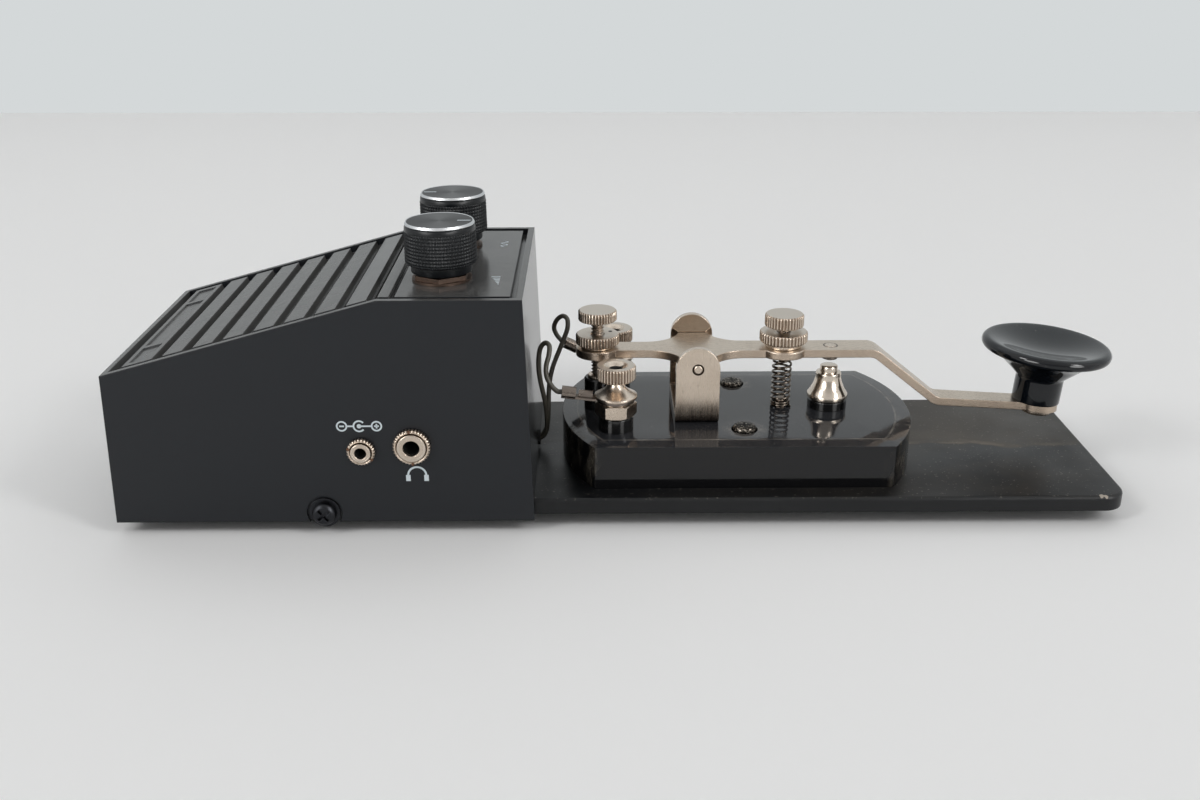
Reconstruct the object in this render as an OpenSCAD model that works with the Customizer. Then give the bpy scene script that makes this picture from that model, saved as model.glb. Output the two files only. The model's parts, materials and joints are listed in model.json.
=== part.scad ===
// Morse code practice oscillator: a straight key and a small tone box on one steel plate.
// X runs along the plate from the box to the finger knob, Y across it, Z up.
// All sizes are in millimetres. The part stands on its rubber feet at Z = 0.

/* [Case] */
// Length of the case along its bottom edge
case_l = 88.8; // [86:0.1:100]
// Width of the case along its bottom edge
case_w = 60; // [59:0.5:70]
// Height of the case at its low end
case_low_h = 33.1; // [32:0.1:38]
// Height of the case at its high end
case_high_h = 48.8; // [47:0.1:56]
// Distance from the low end to the line where the slope meets the flat top
case_break_x = 58.1; // [57:0.1:59]
// Thickness of the case's side walls
case_wall = 1.6; // [1.2:0.1:1.7]
// Thickness of the case's top, from the rim to the inside
case_roof = 3.2; // [2.8:0.1:3.6]
// How far the end walls lean in for each unit of height
end_draft = 0.03; // [0.01:0.005:0.04]
// How far the long walls lean in for each unit of height
side_draft = 0.011; // [0.005:0.001:0.015]

/* [Case top] */
// Width of the flat rim round the top
rim_w = 1.4; // [1:0.1:2]
// Depth of the field inside the rim
field_d = 1.6; // [1:0.1:1.9]
// How far the ribs and the panel lie below the rim
rib_drop = 0.12; // [0:0.02:0.4]
// Width of the groove between the rim and the ribs, along the long walls
side_groove = 1.5; // [1:0.1:2.5]
// Width of the groove at the low end
low_groove = 2.4; // [1.5:0.1:3]
// Width of the groove at the high end
high_groove = 1.2; // [0.8:0.1:2]
// Width of the name strip, which stays blank
strip_w = 6.6; // [5:0.1:7]
// Width of each rib across the speaker
rib_w = 4.25; // [3.6:0.05:4.3]
// Gap between neighbouring ribs
rib_gap = 2.37; // [1.8:0.01:2.4]
// Number of ribs
rib_count = 7; // [5:1:7]
// Width of the open slot in the floor of each gap
slot_w = 1.5; // [0.8:0.1:1.7]
// Length of the open slots across the case
slot_len = 46; // [30:1:48]
// Width of the plain land between the ribs and the control panel
land_w = 2.2; // [1.5:0.1:3]
// Gap between the land and the control panel
land_gap = 1.2; // [0.8:0.1:2]

/* [Plate] */
// How far the plate reaches beyond the case's high end
plate_out = 127.2; // [121:0.1:136]
// Gap between the plate's long edges and the case's outer faces, on each side
plate_side = 1.85; // [1.8:0.05:3]
// Height of the plate's turned-down edge
plate_h = 3.4; // [3.2:0.1:4]
// Thickness of the plate's steel
plate_t = 1.6; // [1.2:0.1:2]
// Radius of the plate's free corners, seen from above
plate_corner_r = 5; // [3:0.5:8]
// Radius along the plate's top edge
plate_edge_r = 0.8; // [0.4:0.1:1.2]
// Height of the plate's lower edge above the case's lower edge
plate_lift = 0.6; // [0.4:0.1:1]
// How far the feet reach below the case's lower edge
foot_drop = 3; // [2:0.5:5]
// Radius of a foot where it meets the floor
foot_r = 4.5; // [4:0.1:5.5]

/* [Key] */
// Gap between the case and the key's base
base_gap = 5.5; // [5.2:0.1:9]
// Length of the key's base, which is a disc with two flats
base_l = 79.4; // [78:0.1:82]
// Width of the key's base across its flats
base_w = 46; // [44:0.5:50]
// Height of the key's base
base_h = 10; // [9:0.5:12]
// Width of the shallow bevel round the base's top
bevel_w = 3.4; // [2:0.1:4]
// Drop of that bevel
bevel_drop = 0.35; // [0.1:0.05:0.8]
// Distance of the pivot pin from the base's end nearest the case
pivot_set = 30.1; // [29.2:0.1:31.7]
// Height of the pivot pin above the base
pivot_h = 12.9; // [12.9:0.1:14]
// Radius of the pivot pin
pin_r = 1; // [0.8:0.05:1.1]
// Running clearance between two turning pieces
running_gap = 0.05; // [0.02:0.01:0.08]
// Gap between the lever's cross and each ear of the trunnion
ear_gap = 0.3; // [0.2:0.05:0.5]
// Distance between the outer faces of the trunnion's ears
ears_w = 22.3; // [21:0.1:24]
// Thickness of the trunnion's strip
ear_t = 1.6; // [1.2:0.1:2]
// Radius of the rounded top of an ear
ear_r = 4.85; // [4:0.05:5.5]
// How much further the far ear reaches above the pin than the near one
ear_rise = 1.2; // [0:0.1:2]

/* [Lever] */
// Thickness of the lever
lever_t = 1.8; // [1.6:0.1:2.2]
// Distance from the pivot back to the contact screw
contact_back = 22; // [21:0.1:23]
// Distance from the pivot forward to the spring screw
spring_fwd = 20.05; // [19:0.05:21]
// Distance from the pivot forward to the contacts
contact_fwd = 30.8; // [30:0.1:32]
// Distance from the pivot forward to the first bend
bend_fwd = 40.5; // [39:0.1:42]
// Length along the plate of the lever's steep part
bend_run = 14.8; // [13:0.1:16]
// Height of the lever's steep part
bend_fall = 11.9; // [11:0.1:12.5]
// Distance from the pivot forward to the centre of the finger knob's seat
toe_fwd = 79.5; // [78:0.1:82]
// Slope of the lever's last part, in degrees
toe_angle = 3.6; // [2:0.1:5]
// Width of the lever behind the pivot
rear_arm_w = 5.8; // [5:0.1:7]
// Width of the lever in front of the pivot
front_arm_w = 6.8; // [6:0.1:8]
// Width of the lever's last part
toe_arm_w = 5.5; // [5:0.1:6.5]
// Radius of the round boss at the contact screw
contact_boss_r = 4.9; // [4.5:0.1:5.2]
// Radius of the round boss at the spring screw
spring_boss_r = 4.55; // [4.3:0.05:5]
// Radius of the round eye under the finger knob
toe_r = 4.5; // [4.2:0.1:5]
// Gap between the contacts at rest
contact_gap = 1.3; // [1:0.05:1.5]

/* [Knobs and screws] */
// Radius of the finger knob's dished head
finger_r = 14.4; // [13:0.1:15]
// Height of the finger knob
finger_h = 13.6; // [12.5:0.1:15]
// Radius of the finger knob's neck
finger_neck_r = 5.2; // [4.6:0.1:6]
// Radius of the contact screw's knurled head
contact_head_r = 4.33; // [4:0.01:4.6]
// Radius of the contact screw's knurled lock nut
contact_lock_r = 4.92; // [4.6:0.01:5.1]
// Radius of the spring screw's knurled head
spring_head_r = 4.38; // [4:0.01:4.6]
// Radius of the spring screw's knurled lock nut
spring_lock_r = 5.4; // [5:0.01:5.6]
// Radius of the adjusting screws' thread
thread_r = 1.45; // [1.3:0.01:1.6]
// Number of teeth on each knurled piece
knurl_teeth = 37; // [24:1:44]
// Number of ribs round a control knob
knob_teeth = 60; // [36:2:72]
// Depth of the knurling
knurl_d = 0.3; // [0.15:0.05:0.4]
// Distance of the binding posts from the pivot, towards the case
post_back = 18.1; // [17.5:0.1:19]
// Distance between the two binding posts
post_spacing = 25.4; // [24:0.1:27]
// Radius of a binding post's thumb nut head
thumb_r = 4.4; // [4:0.05:4.6]
// Number of turns of the lever's spring
spring_turns = 8.5; // [7:0.5:9]
// Radius of the spring, at the middle of its wire
spring_r = 2.05; // [1.95:0.05:2.3]
// Radius of the spring's wire
spring_wire_r = 0.26; // [0.2:0.02:0.3]

/* [Controls and sockets] */
// Distance of the control knobs' axes from the start of the panel
pot_set = 8.2; // [7.5:0.1:9.5]
// Distance of the control knobs' axes from the case's long sides
pot_inset = 16.6; // [15:0.1:18]
// Radius of a control knob's knurled body
knob_r = 7.6; // [7:0.1:8]
// Height of a control knob's top above the case
knob_top = 12.4; // [11:0.1:14]
// Gap under a control knob
knob_lift = 1.7; // [1.5:0.1:2.5]
// Radius of a control's shaft
shaft_r = 3; // [2.8:0.1:3.1]
// Distance of the power socket from the low end of the case
power_x = 53.1; // [52:0.1:53.5]
// Height of the power socket
power_z = 16.4; // [16:0.1:18]
// Radius of the power socket's hole
power_bore_r = 1.25; // [1:0.05:1.3]
// Distance of the earphone socket from the low end of the case
phone_x = 63.7; // [63.4:0.1:65]
// Height of the earphone socket
phone_z = 17.5; // [17:0.1:19]
// Radius of the earphone socket's hole
phone_bore_r = 1.75; // [1.5:0.05:1.8]
// Distance of the case's side screws from its low end
side_screw_x = 44.3; // [40:0.1:46]

/* [Hidden] */
$fn = 64;

// Cuts reach this far past the face they open
cut = 1;
// Two pieces that are screwed together with room between them
clear = 0.15;
// Radius of the hole for an M3 screw
screw_hole_r = thread_r + 0.1;

// The case's own lines
slope_angle = atan2(case_high_h - case_low_h, case_break_x - end_draft * case_low_h);
ridge_x = end_draft * case_low_h;
rib_pitch = rib_w + rib_gap;
strip_s = rim_w + low_groove;
rib_s = strip_s + strip_w + rib_gap;
top_end_x = case_l - end_draft * case_high_h;
panel_x = case_break_x + land_w + land_gap;
panel_end_x = top_end_x - rim_w - high_groove;
pot_x = panel_x + pot_set * (panel_end_x - panel_x) / 23.236;
pot_y = case_w / 2 - pot_inset;
roof_z = case_high_h - case_roof;

// The plate's own lines
plate_top = plate_lift + plate_h;
plate_under = plate_top - plate_t;
plate_start_x = case_wall + 0.5;
plate_end_x = case_l + plate_out;
plate_w = case_w - 2 * plate_side;
foot_points = [for (x = [plate_start_x + 12, plate_end_x - 14], y = [-1, 1]) [x, y * (plate_w / 2 - 13.6)]];

// The key's own lines
base_x = case_l + base_gap;
pivot_x = base_x + pivot_set;
base_r = base_l / 2;
base_cx = base_x + base_r;
base_top = plate_top + base_h;
base_roof = 4;
pivot_z = base_top + pivot_h;
lever_bottom = pivot_z - 0.1;
lever_top = lever_bottom + lever_t;
contact_x = pivot_x - contact_back;
spring_x = pivot_x + spring_fwd;
anvil_x = pivot_x + contact_fwd;
post_x = pivot_x - post_back;
post_y = post_spacing / 2;
base_screws = [for (y = [-13.9, 13.9]) [pivot_x + 10.3, y]];
side_shank_r = 1;
cross_half = ears_w / 2 - ear_t - ear_gap;
press_angle = 2.4;

// Heights of what stands on the base
pedestal_h = 2.2;
anvil_bottom = base_top + pedestal_h;
stub_h = 1.5;
anvil_top = lever_bottom - stub_h - contact_gap;
rear_post_h = 7.4;
rear_disc_h = 0.6;
rest_gap = 0.05;
screw_tip_z = base_top + rear_post_h + rear_disc_h + rest_gap;
lock_z = lever_top + running_gap;
spring_floor = base_top;
spring_screw_tip = lever_bottom - 0.4;
binding_pedestal_h = 3.3;
nut_h = 3;
nut_face_h = 0.4;
lug_t = 0.5;
nut_z = base_top + binding_pedestal_h;
lug_z = nut_z + nut_h + nut_face_h;
thumb_z = lug_z + lug_t + running_gap;
stud_top = thumb_z + 1.5;
thumb_h = 7.5;

// The finger knob's seat lies on the lever's sloping last part
bend_x = pivot_x + bend_fwd;
low_x = bend_x + bend_run;
toe_x = pivot_x + toe_fwd;
mid_z = lever_bottom + lever_t / 2;
low_z = mid_z - bend_fall;
toe_mid_z = low_z - (toe_x - low_x) * tan(toe_angle);
rim_r = 0.9;
rim_z = finger_h - 1.1;
knob_edge_x = toe_x + (lever_t / 2 + rim_z) * sin(toe_angle) + (finger_r - rim_r) * cos(toe_angle) + rim_r;
overall_l = max(plate_end_x, knob_edge_x);

// The control knobs
knob_z = case_high_h + knob_lift;
knob_top_z = case_high_h + knob_top;
cap_t = 0.6;
skirt_h = 1.9;
knob_bore = 8;

// The inside of the case
board_z = plate_top + 5;
board_t = 1.6;
battery_x = 5.6;
battery_size = [46.4, 26.4, 17.4];
battery_end = battery_x + battery_size[0];
snap_y = 6.35;
stud_r = 2.8;
stud_out = 1.8;
snap_size = [4.6, 25, 13];
snap_gap = 0.3;
snap_face = battery_end + snap_gap + snap_size[0];
board_x = [snap_face + 3.1, case_l - 4.3];
board_half = case_w / 2 - 6;
hole_inset = 3.5;
board_holes = [for (x = [board_x[0] + hole_inset, board_x[1] - hole_inset], y = [-1, 1])
    [x, y * (board_half - hole_inset)]];
// A place on the board: share of its length from the battery's end, share of its half width
function on_board(u, v) = [board_x[0] + u * (board_x[1] - board_x[0]), v * board_half / 24];
strap_x = 22;
strap_w = 10;
strap_t = 0.8;
strap_foot = 8;
strap_screws = [for (y = [-1, 1])
    [strap_x + strap_w / 2, y * (battery_size[1] / 2 + clear + strap_t + strap_foot / 2)]];
speaker_s = rib_s + 3.5 * rib_pitch - rib_gap / 2;
speaker_r = 24.7;
magnet_r = 12.5;
magnet_h = 4.8;
magnet_z = 7.2;
cloth_t = 0.4;
speaker_z = case_roof + cloth_t;
peg_offset = speaker_r - 4.7;
peg_r = 1.3;

// Sockets in the near wall
wall_y = case_w / 2 - side_draft * phone_z;
grommet_z = plate_top + 2.3;
grommet_r = 1.85;
wire_r = 0.55;

// Ring terminals of the two leads: side of the key, tilt in degrees, reach from the ring's neck
lugs = [[1, 26.68, 7.914], [-1, 7.19, 7.2]];
lug_neck_x = post_x - 4.8;
lug_axis = 0.75;
function lug_point(l, d) = [lug_neck_x - d * cos(l[1]) + lug_axis * sin(l[1]), l[0] * post_y,
    lug_z + lug_t / 2 + d * sin(l[1]) + lug_axis * cos(l[1])];

// Routes of the two leads from the key to the circuit board: X from the case's high end, chosen by hand
far_way = [[3.9, 12.9, 27.1], [3.4, 12.7, 28.9], [4.1, 12.1, 30.9], [5.5, 11.1, 32.2], [6.6, 9.8, 31.8],
    [6.6, 8.8, 29.8], [5.6, 8, 27.2], [4.5, 7.2, 24.6], [3.4, 6.4, 22], [2.6, 5.6, 19.2],
    [2.2, 4.7, 16.2], [2.1, 3.7, 13.2], [2, 2.6, 10.4], [1.7, 1.6, 8.2], [0.9, 0.8, 6.8],
    [-0.2, 0.58, 6.3], [-2.4, 0.58, 6.3], [-4.6, 0.6, 6.4], [-6.2, 0.8, 7.1], [-6.8, 1, 8.2],
    [-6.8, 1, 9]];
near_way = [[3.4, -12.3, 23.9], [2.4, -11.7, 25.8], [2.3, -11.1, 28], [2.9, -10.2, 30.2], [3, -9, 31.9],
    [2.1, -7.8, 32.2], [1, -6.9, 30.8], [0.5, -6.2, 28.2], [0.4, -5.6, 25.2], [0.7, -5, 22.2],
    [1.2, -4.4, 19.2], [1.7, -3.7, 16], [1.9, -3, 12.8], [1.9, -2.2, 10], [1.5, -1.4, 8],
    [0.8, -0.8, 6.8], [-0.2, -0.58, 6.3], [-2.4, -0.58, 6.3], [-4.6, -0.8, 6.4], [-6.2, -1.4, 7.1],
    [-6.8, -1.8, 8.2], [-6.8, -1.8, 9]];
function way_points(l, way) = concat([lug_point(l, l[2]), lug_point(l, l[2] + 1)],
    [for (p = way) [case_l + p[0], p[1], p[2]]]);
far_route = way_points(lugs[0], far_way);
near_route = way_points(lugs[1], near_way);

// Short leads inside the case, each from a terminal to the circuit board
function slope_point(s, y, z) = [ridge_x + s * cos(slope_angle) - z * sin(slope_angle), y,
    case_low_h + s * sin(slope_angle) + z * cos(slope_angle)];
tag_reach = 16.5;
tag_z = -8.6;
board_top = board_z + board_t;
function landing(u, v, d = [0, 0, 0]) = concat(on_board(u, v), board_top) + d;
function snap_start(y) = [[snap_face, y, 12], [snap_face + 1.5, y, 12]];
function tag_start(y) = [slope_point(speaker_s + tag_reach, y, tag_z - speaker_z),
    slope_point(speaker_s + tag_reach + 2, y, tag_z - speaker_z)];
function pot_start(y) = [[pot_x - 9.2, y, roof_z - 7.5], [pot_x - 9.2, y, roof_z - 9.6],
    [pot_x - 8.2, y, roof_z - 16.6]];
function jack_start(x, y, z) = [[x, y - wall_y, z], [x, y - wall_y + 1.5, z - 0.2]];
// Each landing is a place on the board, and the steps before it are given from there
landings = [[0.1, -6.6], [0.1, 8.5], [0.25, 8.5], [0.36, -13.6], [0.5, -13.6], [0.42, 10], [0.22, -13.6],
    [0.08, -13.6]];
approaches = [[[-1.8, 0.3, 2.7], [-0.25, 0, 2.4], [0, 0, 1.2]],
    [[-1.8, -0.9, 2.7], [-0.25, -0.1, 2.4], [0, 0, 1.2]],
    [[-5.1, -0.9, 13.4], [-1.6, 0.1, 5.4], [0, 0, 2.2]],
    [[-6.3, 6, 11.4], [-1.5, 0.8, 5], [0, 0, 2.2]],
    [[-5, 0.5, 9.4], [-0.6, 0, 4], [0, 0, 2]],
    [[-4.8, 1, 9.4], [-0.4, 0.1, 3.9], [0, 0, 2]],
    [[-0.6, -0.3, 3.4], [0, 0, 1.8]],
    [[-2.2, -0.2, 4], [-0.4, 0, 2.6], [0, 0, 1.2]]];
lead_starts = [snap_start(-6), snap_start(6), tag_start(4), tag_start(-4),
    pot_start(-pot_y), pot_start(pot_y), jack_start(phone_x, 13.17, 15.6),
    concat(jack_start(power_x, 10.66, 15), [[power_x + 3.4, 12.9 - wall_y, 15.2]])];
lead_routes = [for (i = [0:7]) concat(lead_starts[i],
    [for (d = concat(approaches[i], [[0, 0, 0]])) landing(landings[i][0], landings[i][1], d)])];

// Places a module that is drawn from the case's low end and lower edge into the part's own frame
module placed() {
    translate([-overall_l / 2, 0, foot_drop]) children();
}

// Points of an arc, from angle a to angle b
function arc(c, r, a, b, n = 8) = [for (i = [0:n])
    let (w = a + (b - a) * i / n) c + r * [cos(w), sin(w)]];

// Points of the round that joins two straight lines A-B and B-C
function fillet(A, B, C, r, n = 8) = let (
    u = (A - B) / norm(A - B),
    v = (C - B) / norm(C - B),
    half = acos(u * v) / 2,
    m = B + (u + v) / norm(u + v) * r / sin(half),
    p = B + u * r / tan(half) - m,
    q = B + v * r / tan(half) - m,
    a = atan2(p[1], p[0]),
    turn = (atan2(q[1], q[0]) - a + 540) % 360 - 180)
    arc(m, r, a, a + turn, n);

// Where two lines that meet at B cross after both move sideways by d
function mitre(A, B, C, d) = let (
    u = (B - A) / norm(B - A),
    v = (C - B) / norm(C - B),
    p = [-u[1], u[0]],
    q = [-v[1], v[0]])
    B + d * (p + q) / (1 + p * q);

function cross3(a, b) = [a[1] * b[2] - a[2] * b[1], a[2] * b[0] - a[0] * b[2], a[0] * b[1] - a[1] * b[0]];
function unit(v) = v / norm(v);

// Direction of a path at point i, the mean of the steps on both sides
function path_dir(p, i) = i == 0 ? unit(p[1] - p[0]) :
    i == len(p) - 1 ? unit(p[i] - p[i - 1]) : unit(unit(p[i + 1] - p[i]) + unit(p[i] - p[i - 1]));

// Sideways direction carried along the path, so that the tube doesn't twist
function path_side(p, i, last) = let (t = path_dir(p, i)) unit(last - t * (last * t));
function path_sides(p, i = 0, last = [0.1, 1, 0.2], found = []) = i == len(p) ? found :
    let (s = path_side(p, i, last)) path_sides(p, i + 1, s, concat(found, [s]));

// A tube of n sides along a list of points
module tube(path, r, n) {
    sides = path_sides(path);
    points = [for (i = [0:len(path) - 1], k = [0:n - 1])
        let (t = path_dir(path, i), s = sides[i], b = cross3(t, s), a = k * 360 / n)
        path[i] + r * (cos(a) * s + sin(a) * b)];
    walls = [for (i = [0:len(path) - 2], k = [0:n - 1], half = [0, 1])
        let (a = i * n + k, b = i * n + (k + 1) % n)
        half == 0 ? [a, a + n, b + n] : [a, b + n, b]];
    caps = concat([for (k = [1:n - 2]) [0, k, k + 1]],
        [for (k = [1:n - 2]) let (e = (len(path) - 1) * n) [e, e + k + 1, e + k]]);
    polyhedron(points, concat(walls, caps), convexity = 10);
}

// A slab whose vertical corners have radius r and whose top edge has radius e
module rounded_slab(l, w, h, r, e) {
    for (x = [r, l - r], y = [-1, 1])
        translate([x, y * (w / 2 - r), 0])
            rotate_extrude() polygon(concat([[0, 0], [r, 0]], arc([r - e, h - e], e, 0, 90), [[0, h]]));
    half = w / 2;
    translate([r, 0, 0]) rotate([90, 0, 90]) linear_extrude(l - 2 * r)
        polygon(concat([[-half, 0], [half, 0]], arc([half - e, h - e], e, 0, 90),
            arc([e - half, h - e], e, 90, 180)));
    translate([0, half - r, 0]) rotate([90, 0, 0]) linear_extrude(w - 2 * r)
        polygon(concat([[0, 0], [l, 0]], arc([l - e, h - e], e, 0, 90),
            arc([e, h - e], e, 90, 180)));
}

// Straight knurling, as a prism of fine teeth
module teeth_ring(r, h, teeth) {
    linear_extrude(h) polygon([for (i = [0:2 * teeth - 1])
        (r - (i % 2) * knurl_d) * [cos(i * 180 / teeth), sin(i * 180 / teeth)]]);
}

// A round piece with straight knurling between two small chamfers
module knurled(r, h, chamfer = 0.25) {
    core = r - knurl_d - 0.03;
    rotate_extrude() polygon([[0, 0], [core - chamfer, 0], [core, chamfer], [core, h - chamfer],
        [core - chamfer, h], [0, h]]);
    translate([0, 0, chamfer + 0.05]) teeth_ring(r, h - 2 * chamfer - 0.1, knurl_teeth);
}

// A pan-head screw with a cross recess, its shank pointing down from the head's seat at Z = 0
module pan_screw(head_r, head_h, shank_r, shank_l) {
    difference() {
        union() {
            rotate_extrude() polygon(concat([[0, 0], [head_r, 0], [head_r, head_h * 0.35]],
                arc([head_r - head_h * 0.65, head_h * 0.35], head_h * 0.65, 0, 90), [[0, head_h]]));
            translate([0, 0, -shank_l]) cylinder(h = shank_l + 0.1, r = shank_r);
        }
        for (a = [0, 90]) rotate(a) translate([-head_r * 0.62, -head_r * 0.13, head_h * 0.45])
            cube([head_r * 1.24, head_r * 0.26, head_h]);
    }
}

module hex_prism(across_flats, h, turn = 30) {
    rotate(turn) cylinder(h = h, r = across_flats / 2 / cos(30), $fn = 6);
}

// The case's outer form, with its long walls, end walls and top moved in by the three values
module case_block(side, ends, drop, bottom = 0) {
    t = tan(slope_angle);
    z0 = case_low_h - drop / cos(slope_angle);
    flat_z = case_high_h - drop;
    low_x0 = (ends + end_draft * (z0 - ridge_x * t)) / (1 - end_draft * t);
    half = case_w / 2 - side;
    top_z = case_high_h + 5;
    intersection() {
        translate([0, case_w, 0]) rotate([90, 0, 0]) linear_extrude(2 * case_w)
            polygon([[ends + end_draft * bottom, bottom], [case_l - ends - end_draft * bottom, bottom],
                [case_l - ends - end_draft * flat_z, flat_z], [ridge_x + (flat_z - z0) / t, flat_z],
                [low_x0, z0 + (low_x0 - ridge_x) * t]]);
        translate([-10, 0, 0]) rotate([90, 0, 90]) linear_extrude(case_l + 20)
            polygon([[-half + side_draft * bottom, bottom], [half - side_draft * bottom, bottom],
                [half - side_draft * top_z, top_z], [-half + side_draft * top_z, top_z]]);
    }
}

// Frame that lies on the slope: X up the slope from the low ridge, Z out of the case
module on_slope() {
    translate([ridge_x, 0, case_low_h]) rotate([0, -slope_angle, 0]) children();
}

module slope_bar(s, w, half_w, z0, z1) {
    on_slope() translate([s, -half_w, z0]) cube([w, 2 * half_w, z1 - z0]);
}

// Name strip, ribs, land and control panel, all level and just under the rim
module case_field() {
    intersection() {
        case_block(rim_w + side_groove, rim_w, rib_drop, 22);
        union() {
            slope_bar(strip_s, strip_w, case_w / 2, -8, 3);
            for (i = [0:rib_count - 1]) slope_bar(rib_s + i * rib_pitch, rib_w, case_w / 2, -8, 3);
            translate([case_break_x, -case_w / 2, case_high_h - 8]) cube([land_w, case_w, 10]);
            translate([panel_x, -case_w / 2, case_high_h - 8]) cube([panel_end_x - panel_x, case_w, 10]);
        }
    }
}

module case_shell() {
    window_d = 0.3;
    window_half = case_w / 2 - rim_w - side_groove - 2;
    color([0.17, 0.18, 0.2]) difference() {
        union() {
            difference() {
                case_block(0, 0, 0);
                difference() {
                    case_block(rim_w, rim_w, -cut, 22);
                    case_block(-cut, -cut, field_d);
                }
            }
            case_field();
        }
        difference() {
            case_block(case_wall, case_wall, case_roof, -cut);
            // Pegs that hold the speaker
            for (x = [-1, 1], y = [-1, 1]) on_slope()
                translate([speaker_s + x * peg_offset, y * peg_offset, -speaker_z - 3.4])
                    cylinder(h = 5, r = peg_r);
        }
        // Open slots over the speaker
        for (i = [0:rib_count]) slope_bar(rib_s - rib_gap / 2 - slot_w / 2 + i * rib_pitch, slot_w,
            slot_len / 2, -case_roof - 3, 1);
        // Three shallow blank windows in the name strip
        for (y = [[-window_half, -window_half + 9], [-window_half + 10.5, window_half - 10.5],
            [window_half - 9, window_half]])
            on_slope() translate([strip_s + 1.1, y[0], -rib_drop - window_d])
                cube([strip_w - 2.2, y[1] - y[0], 3]);
        // Control bushings
        for (y = [-pot_y, pot_y]) translate([pot_x, y, roof_z - 2]) cylinder(h = 8, r = 3.6);
        // Sockets
        translate([power_x, 0, power_z]) rotate([90, 0, 0]) cylinder(h = case_w, r = 2.2);
        translate([phone_x, 0, phone_z]) rotate([90, 0, 0]) cylinder(h = case_w, r = 3.1);
        // Sunk seats and holes of the side screws
        side_screw_place() {
            cylinder(h = 3, r = 3.75);
            translate([0, 0, -4]) cylinder(h = 8, r = side_shank_r + 0.3);
        }
        // Mouth that the plate passes through, and the hole for the leads above it
        translate([case_l - 10, -plate_w / 2 - clear, -cut])
            cube([20, plate_w + 2 * clear, plate_top + clear + cut]);
        translate([case_l - 10, 0, grommet_z]) rotate([0, 90, 0]) cylinder(h = 20, r = grommet_r);
    }
}

module base_plate() {
    inner_r = plate_corner_r - plate_t;
    l = plate_end_x - plate_start_x;
    color([0.1, 0.1, 0.11]) difference() {
        translate([plate_start_x, 0, plate_lift])
            rounded_slab(l, plate_w, plate_h, plate_corner_r, plate_edge_r);
        translate([plate_start_x + plate_t, 0, plate_lift - cut]) linear_extrude(plate_h - plate_t + cut) {
            translate([0, inner_r - plate_w / 2 + plate_t])
                square([l - 2 * plate_t, plate_w - 2 * plate_t - 2 * inner_r]);
            translate([inner_r, plate_t - plate_w / 2])
                square([l - 2 * plate_t - 2 * inner_r, plate_w - 2 * plate_t]);
            for (x = [inner_r, l - 2 * plate_t - inner_r], y = [-1, 1])
                translate([x, y * (plate_w / 2 - plate_t - inner_r)]) circle(inner_r);
        }
        for (p = concat(base_screws, board_holes, strap_screws))
            translate([p[0], p[1], plate_under - cut]) cylinder(h = 10, r = thread_r + 0.02);
        for (y = [-1, 1]) translate([side_screw_x, y * (plate_w / 2 - 4), plate_lift + 1.5])
            rotate([-90 * y, 0, 0]) cylinder(h = 6, r = side_shank_r + 0.05);
    }
}

// Round rubber feet stuck to the plate's underside
module rubber_feet() {
    top = plate_under + foot_drop;
    color([0.08, 0.08, 0.08]) for (p = foot_points) translate([p[0], p[1], -foot_drop]) rotate_extrude()
        polygon([[0, 0], [foot_r - 0.5, 0], [foot_r, 0.5], [foot_r + 0.5, top], [0, top]]);
}

module side_screw_place() {
    for (y = [-1, 1]) translate([side_screw_x, y * (case_w / 2 - 0.6), plate_lift + 1.5])
        rotate([-90 * y, 0, 0]) children();
}

module case_washers() {
    color([0.12, 0.12, 0.13]) side_screw_place() difference() {
        cylinder(h = 0.5, r = 3.3);
        translate([0, 0, -cut]) cylinder(h = 3, r = side_shank_r + 0.3);
    }
}

module case_screws() {
    color([0.15, 0.15, 0.16]) side_screw_place() translate([0, 0, 0.5]) rotate(40)
        pan_screw(2.55, 1.7, side_shank_r, 4.4);
}

// The key's base: a disc with two flats, bevelled on top and hollow underneath
module base_outline(inset) {
    intersection() {
        translate([base_cx, 0]) circle(base_r - inset, $fn = 128);
        translate([base_cx, 0]) square([base_l + 2, base_w - 2 * inset], center = true);
    }
}

module key_base() {
    half = base_w / 2;
    boss_r = 3.6;
    color([0.04, 0.04, 0.045]) difference() {
        intersection() {
            translate([base_cx, 0, plate_top]) rotate_extrude($fn = 128)
                polygon([[0, 0], [base_r, 0], [base_r, base_h - bevel_drop], [base_r - bevel_w, base_h],
                    [0, base_h]]);
            translate([base_x - 1, 0, plate_top]) rotate([90, 0, 90]) linear_extrude(base_l + 2)
                polygon([[-half, 0], [half, 0], [half, base_h - bevel_drop], [half - bevel_w, base_h],
                    [bevel_w - half, base_h], [-half, base_h - bevel_drop]]);
        }
        difference() {
            translate([0, 0, plate_top - cut]) linear_extrude(base_h - base_roof + cut) base_outline(3.5);
            for (p = base_screws) translate([p[0], p[1], 0]) cylinder(h = 30, r = boss_r);
        }
        for (p = base_screws) {
            translate([p[0], p[1], 0]) cylinder(h = 30, r = screw_hole_r);
            translate([p[0], p[1], base_top - 1.5]) cylinder(h = 3, r = 2.9);
        }
        for (y = [-1, 1]) {
            translate([pivot_x, y * 4.5, base_top - 8]) cylinder(h = 14, r = 1.22);
            translate([post_x, y * post_y, 0]) cylinder(h = 30, r = screw_hole_r);
        }
        for (x = [contact_x, anvil_x]) translate([x, 0, 0]) cylinder(h = 30, r = screw_hole_r);
        translate([spring_x, 0, base_top - 3]) cylinder(h = 6, r = 1.02);
    }
}

module key_base_screws() {
    color([0.2, 0.2, 0.2]) for (p = base_screws) translate([p[0], p[1], base_top - 1.5])
        pan_screw(2.5, 1.5, thread_r, base_h - 1.5 + plate_t + 0.8);
}

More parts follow.
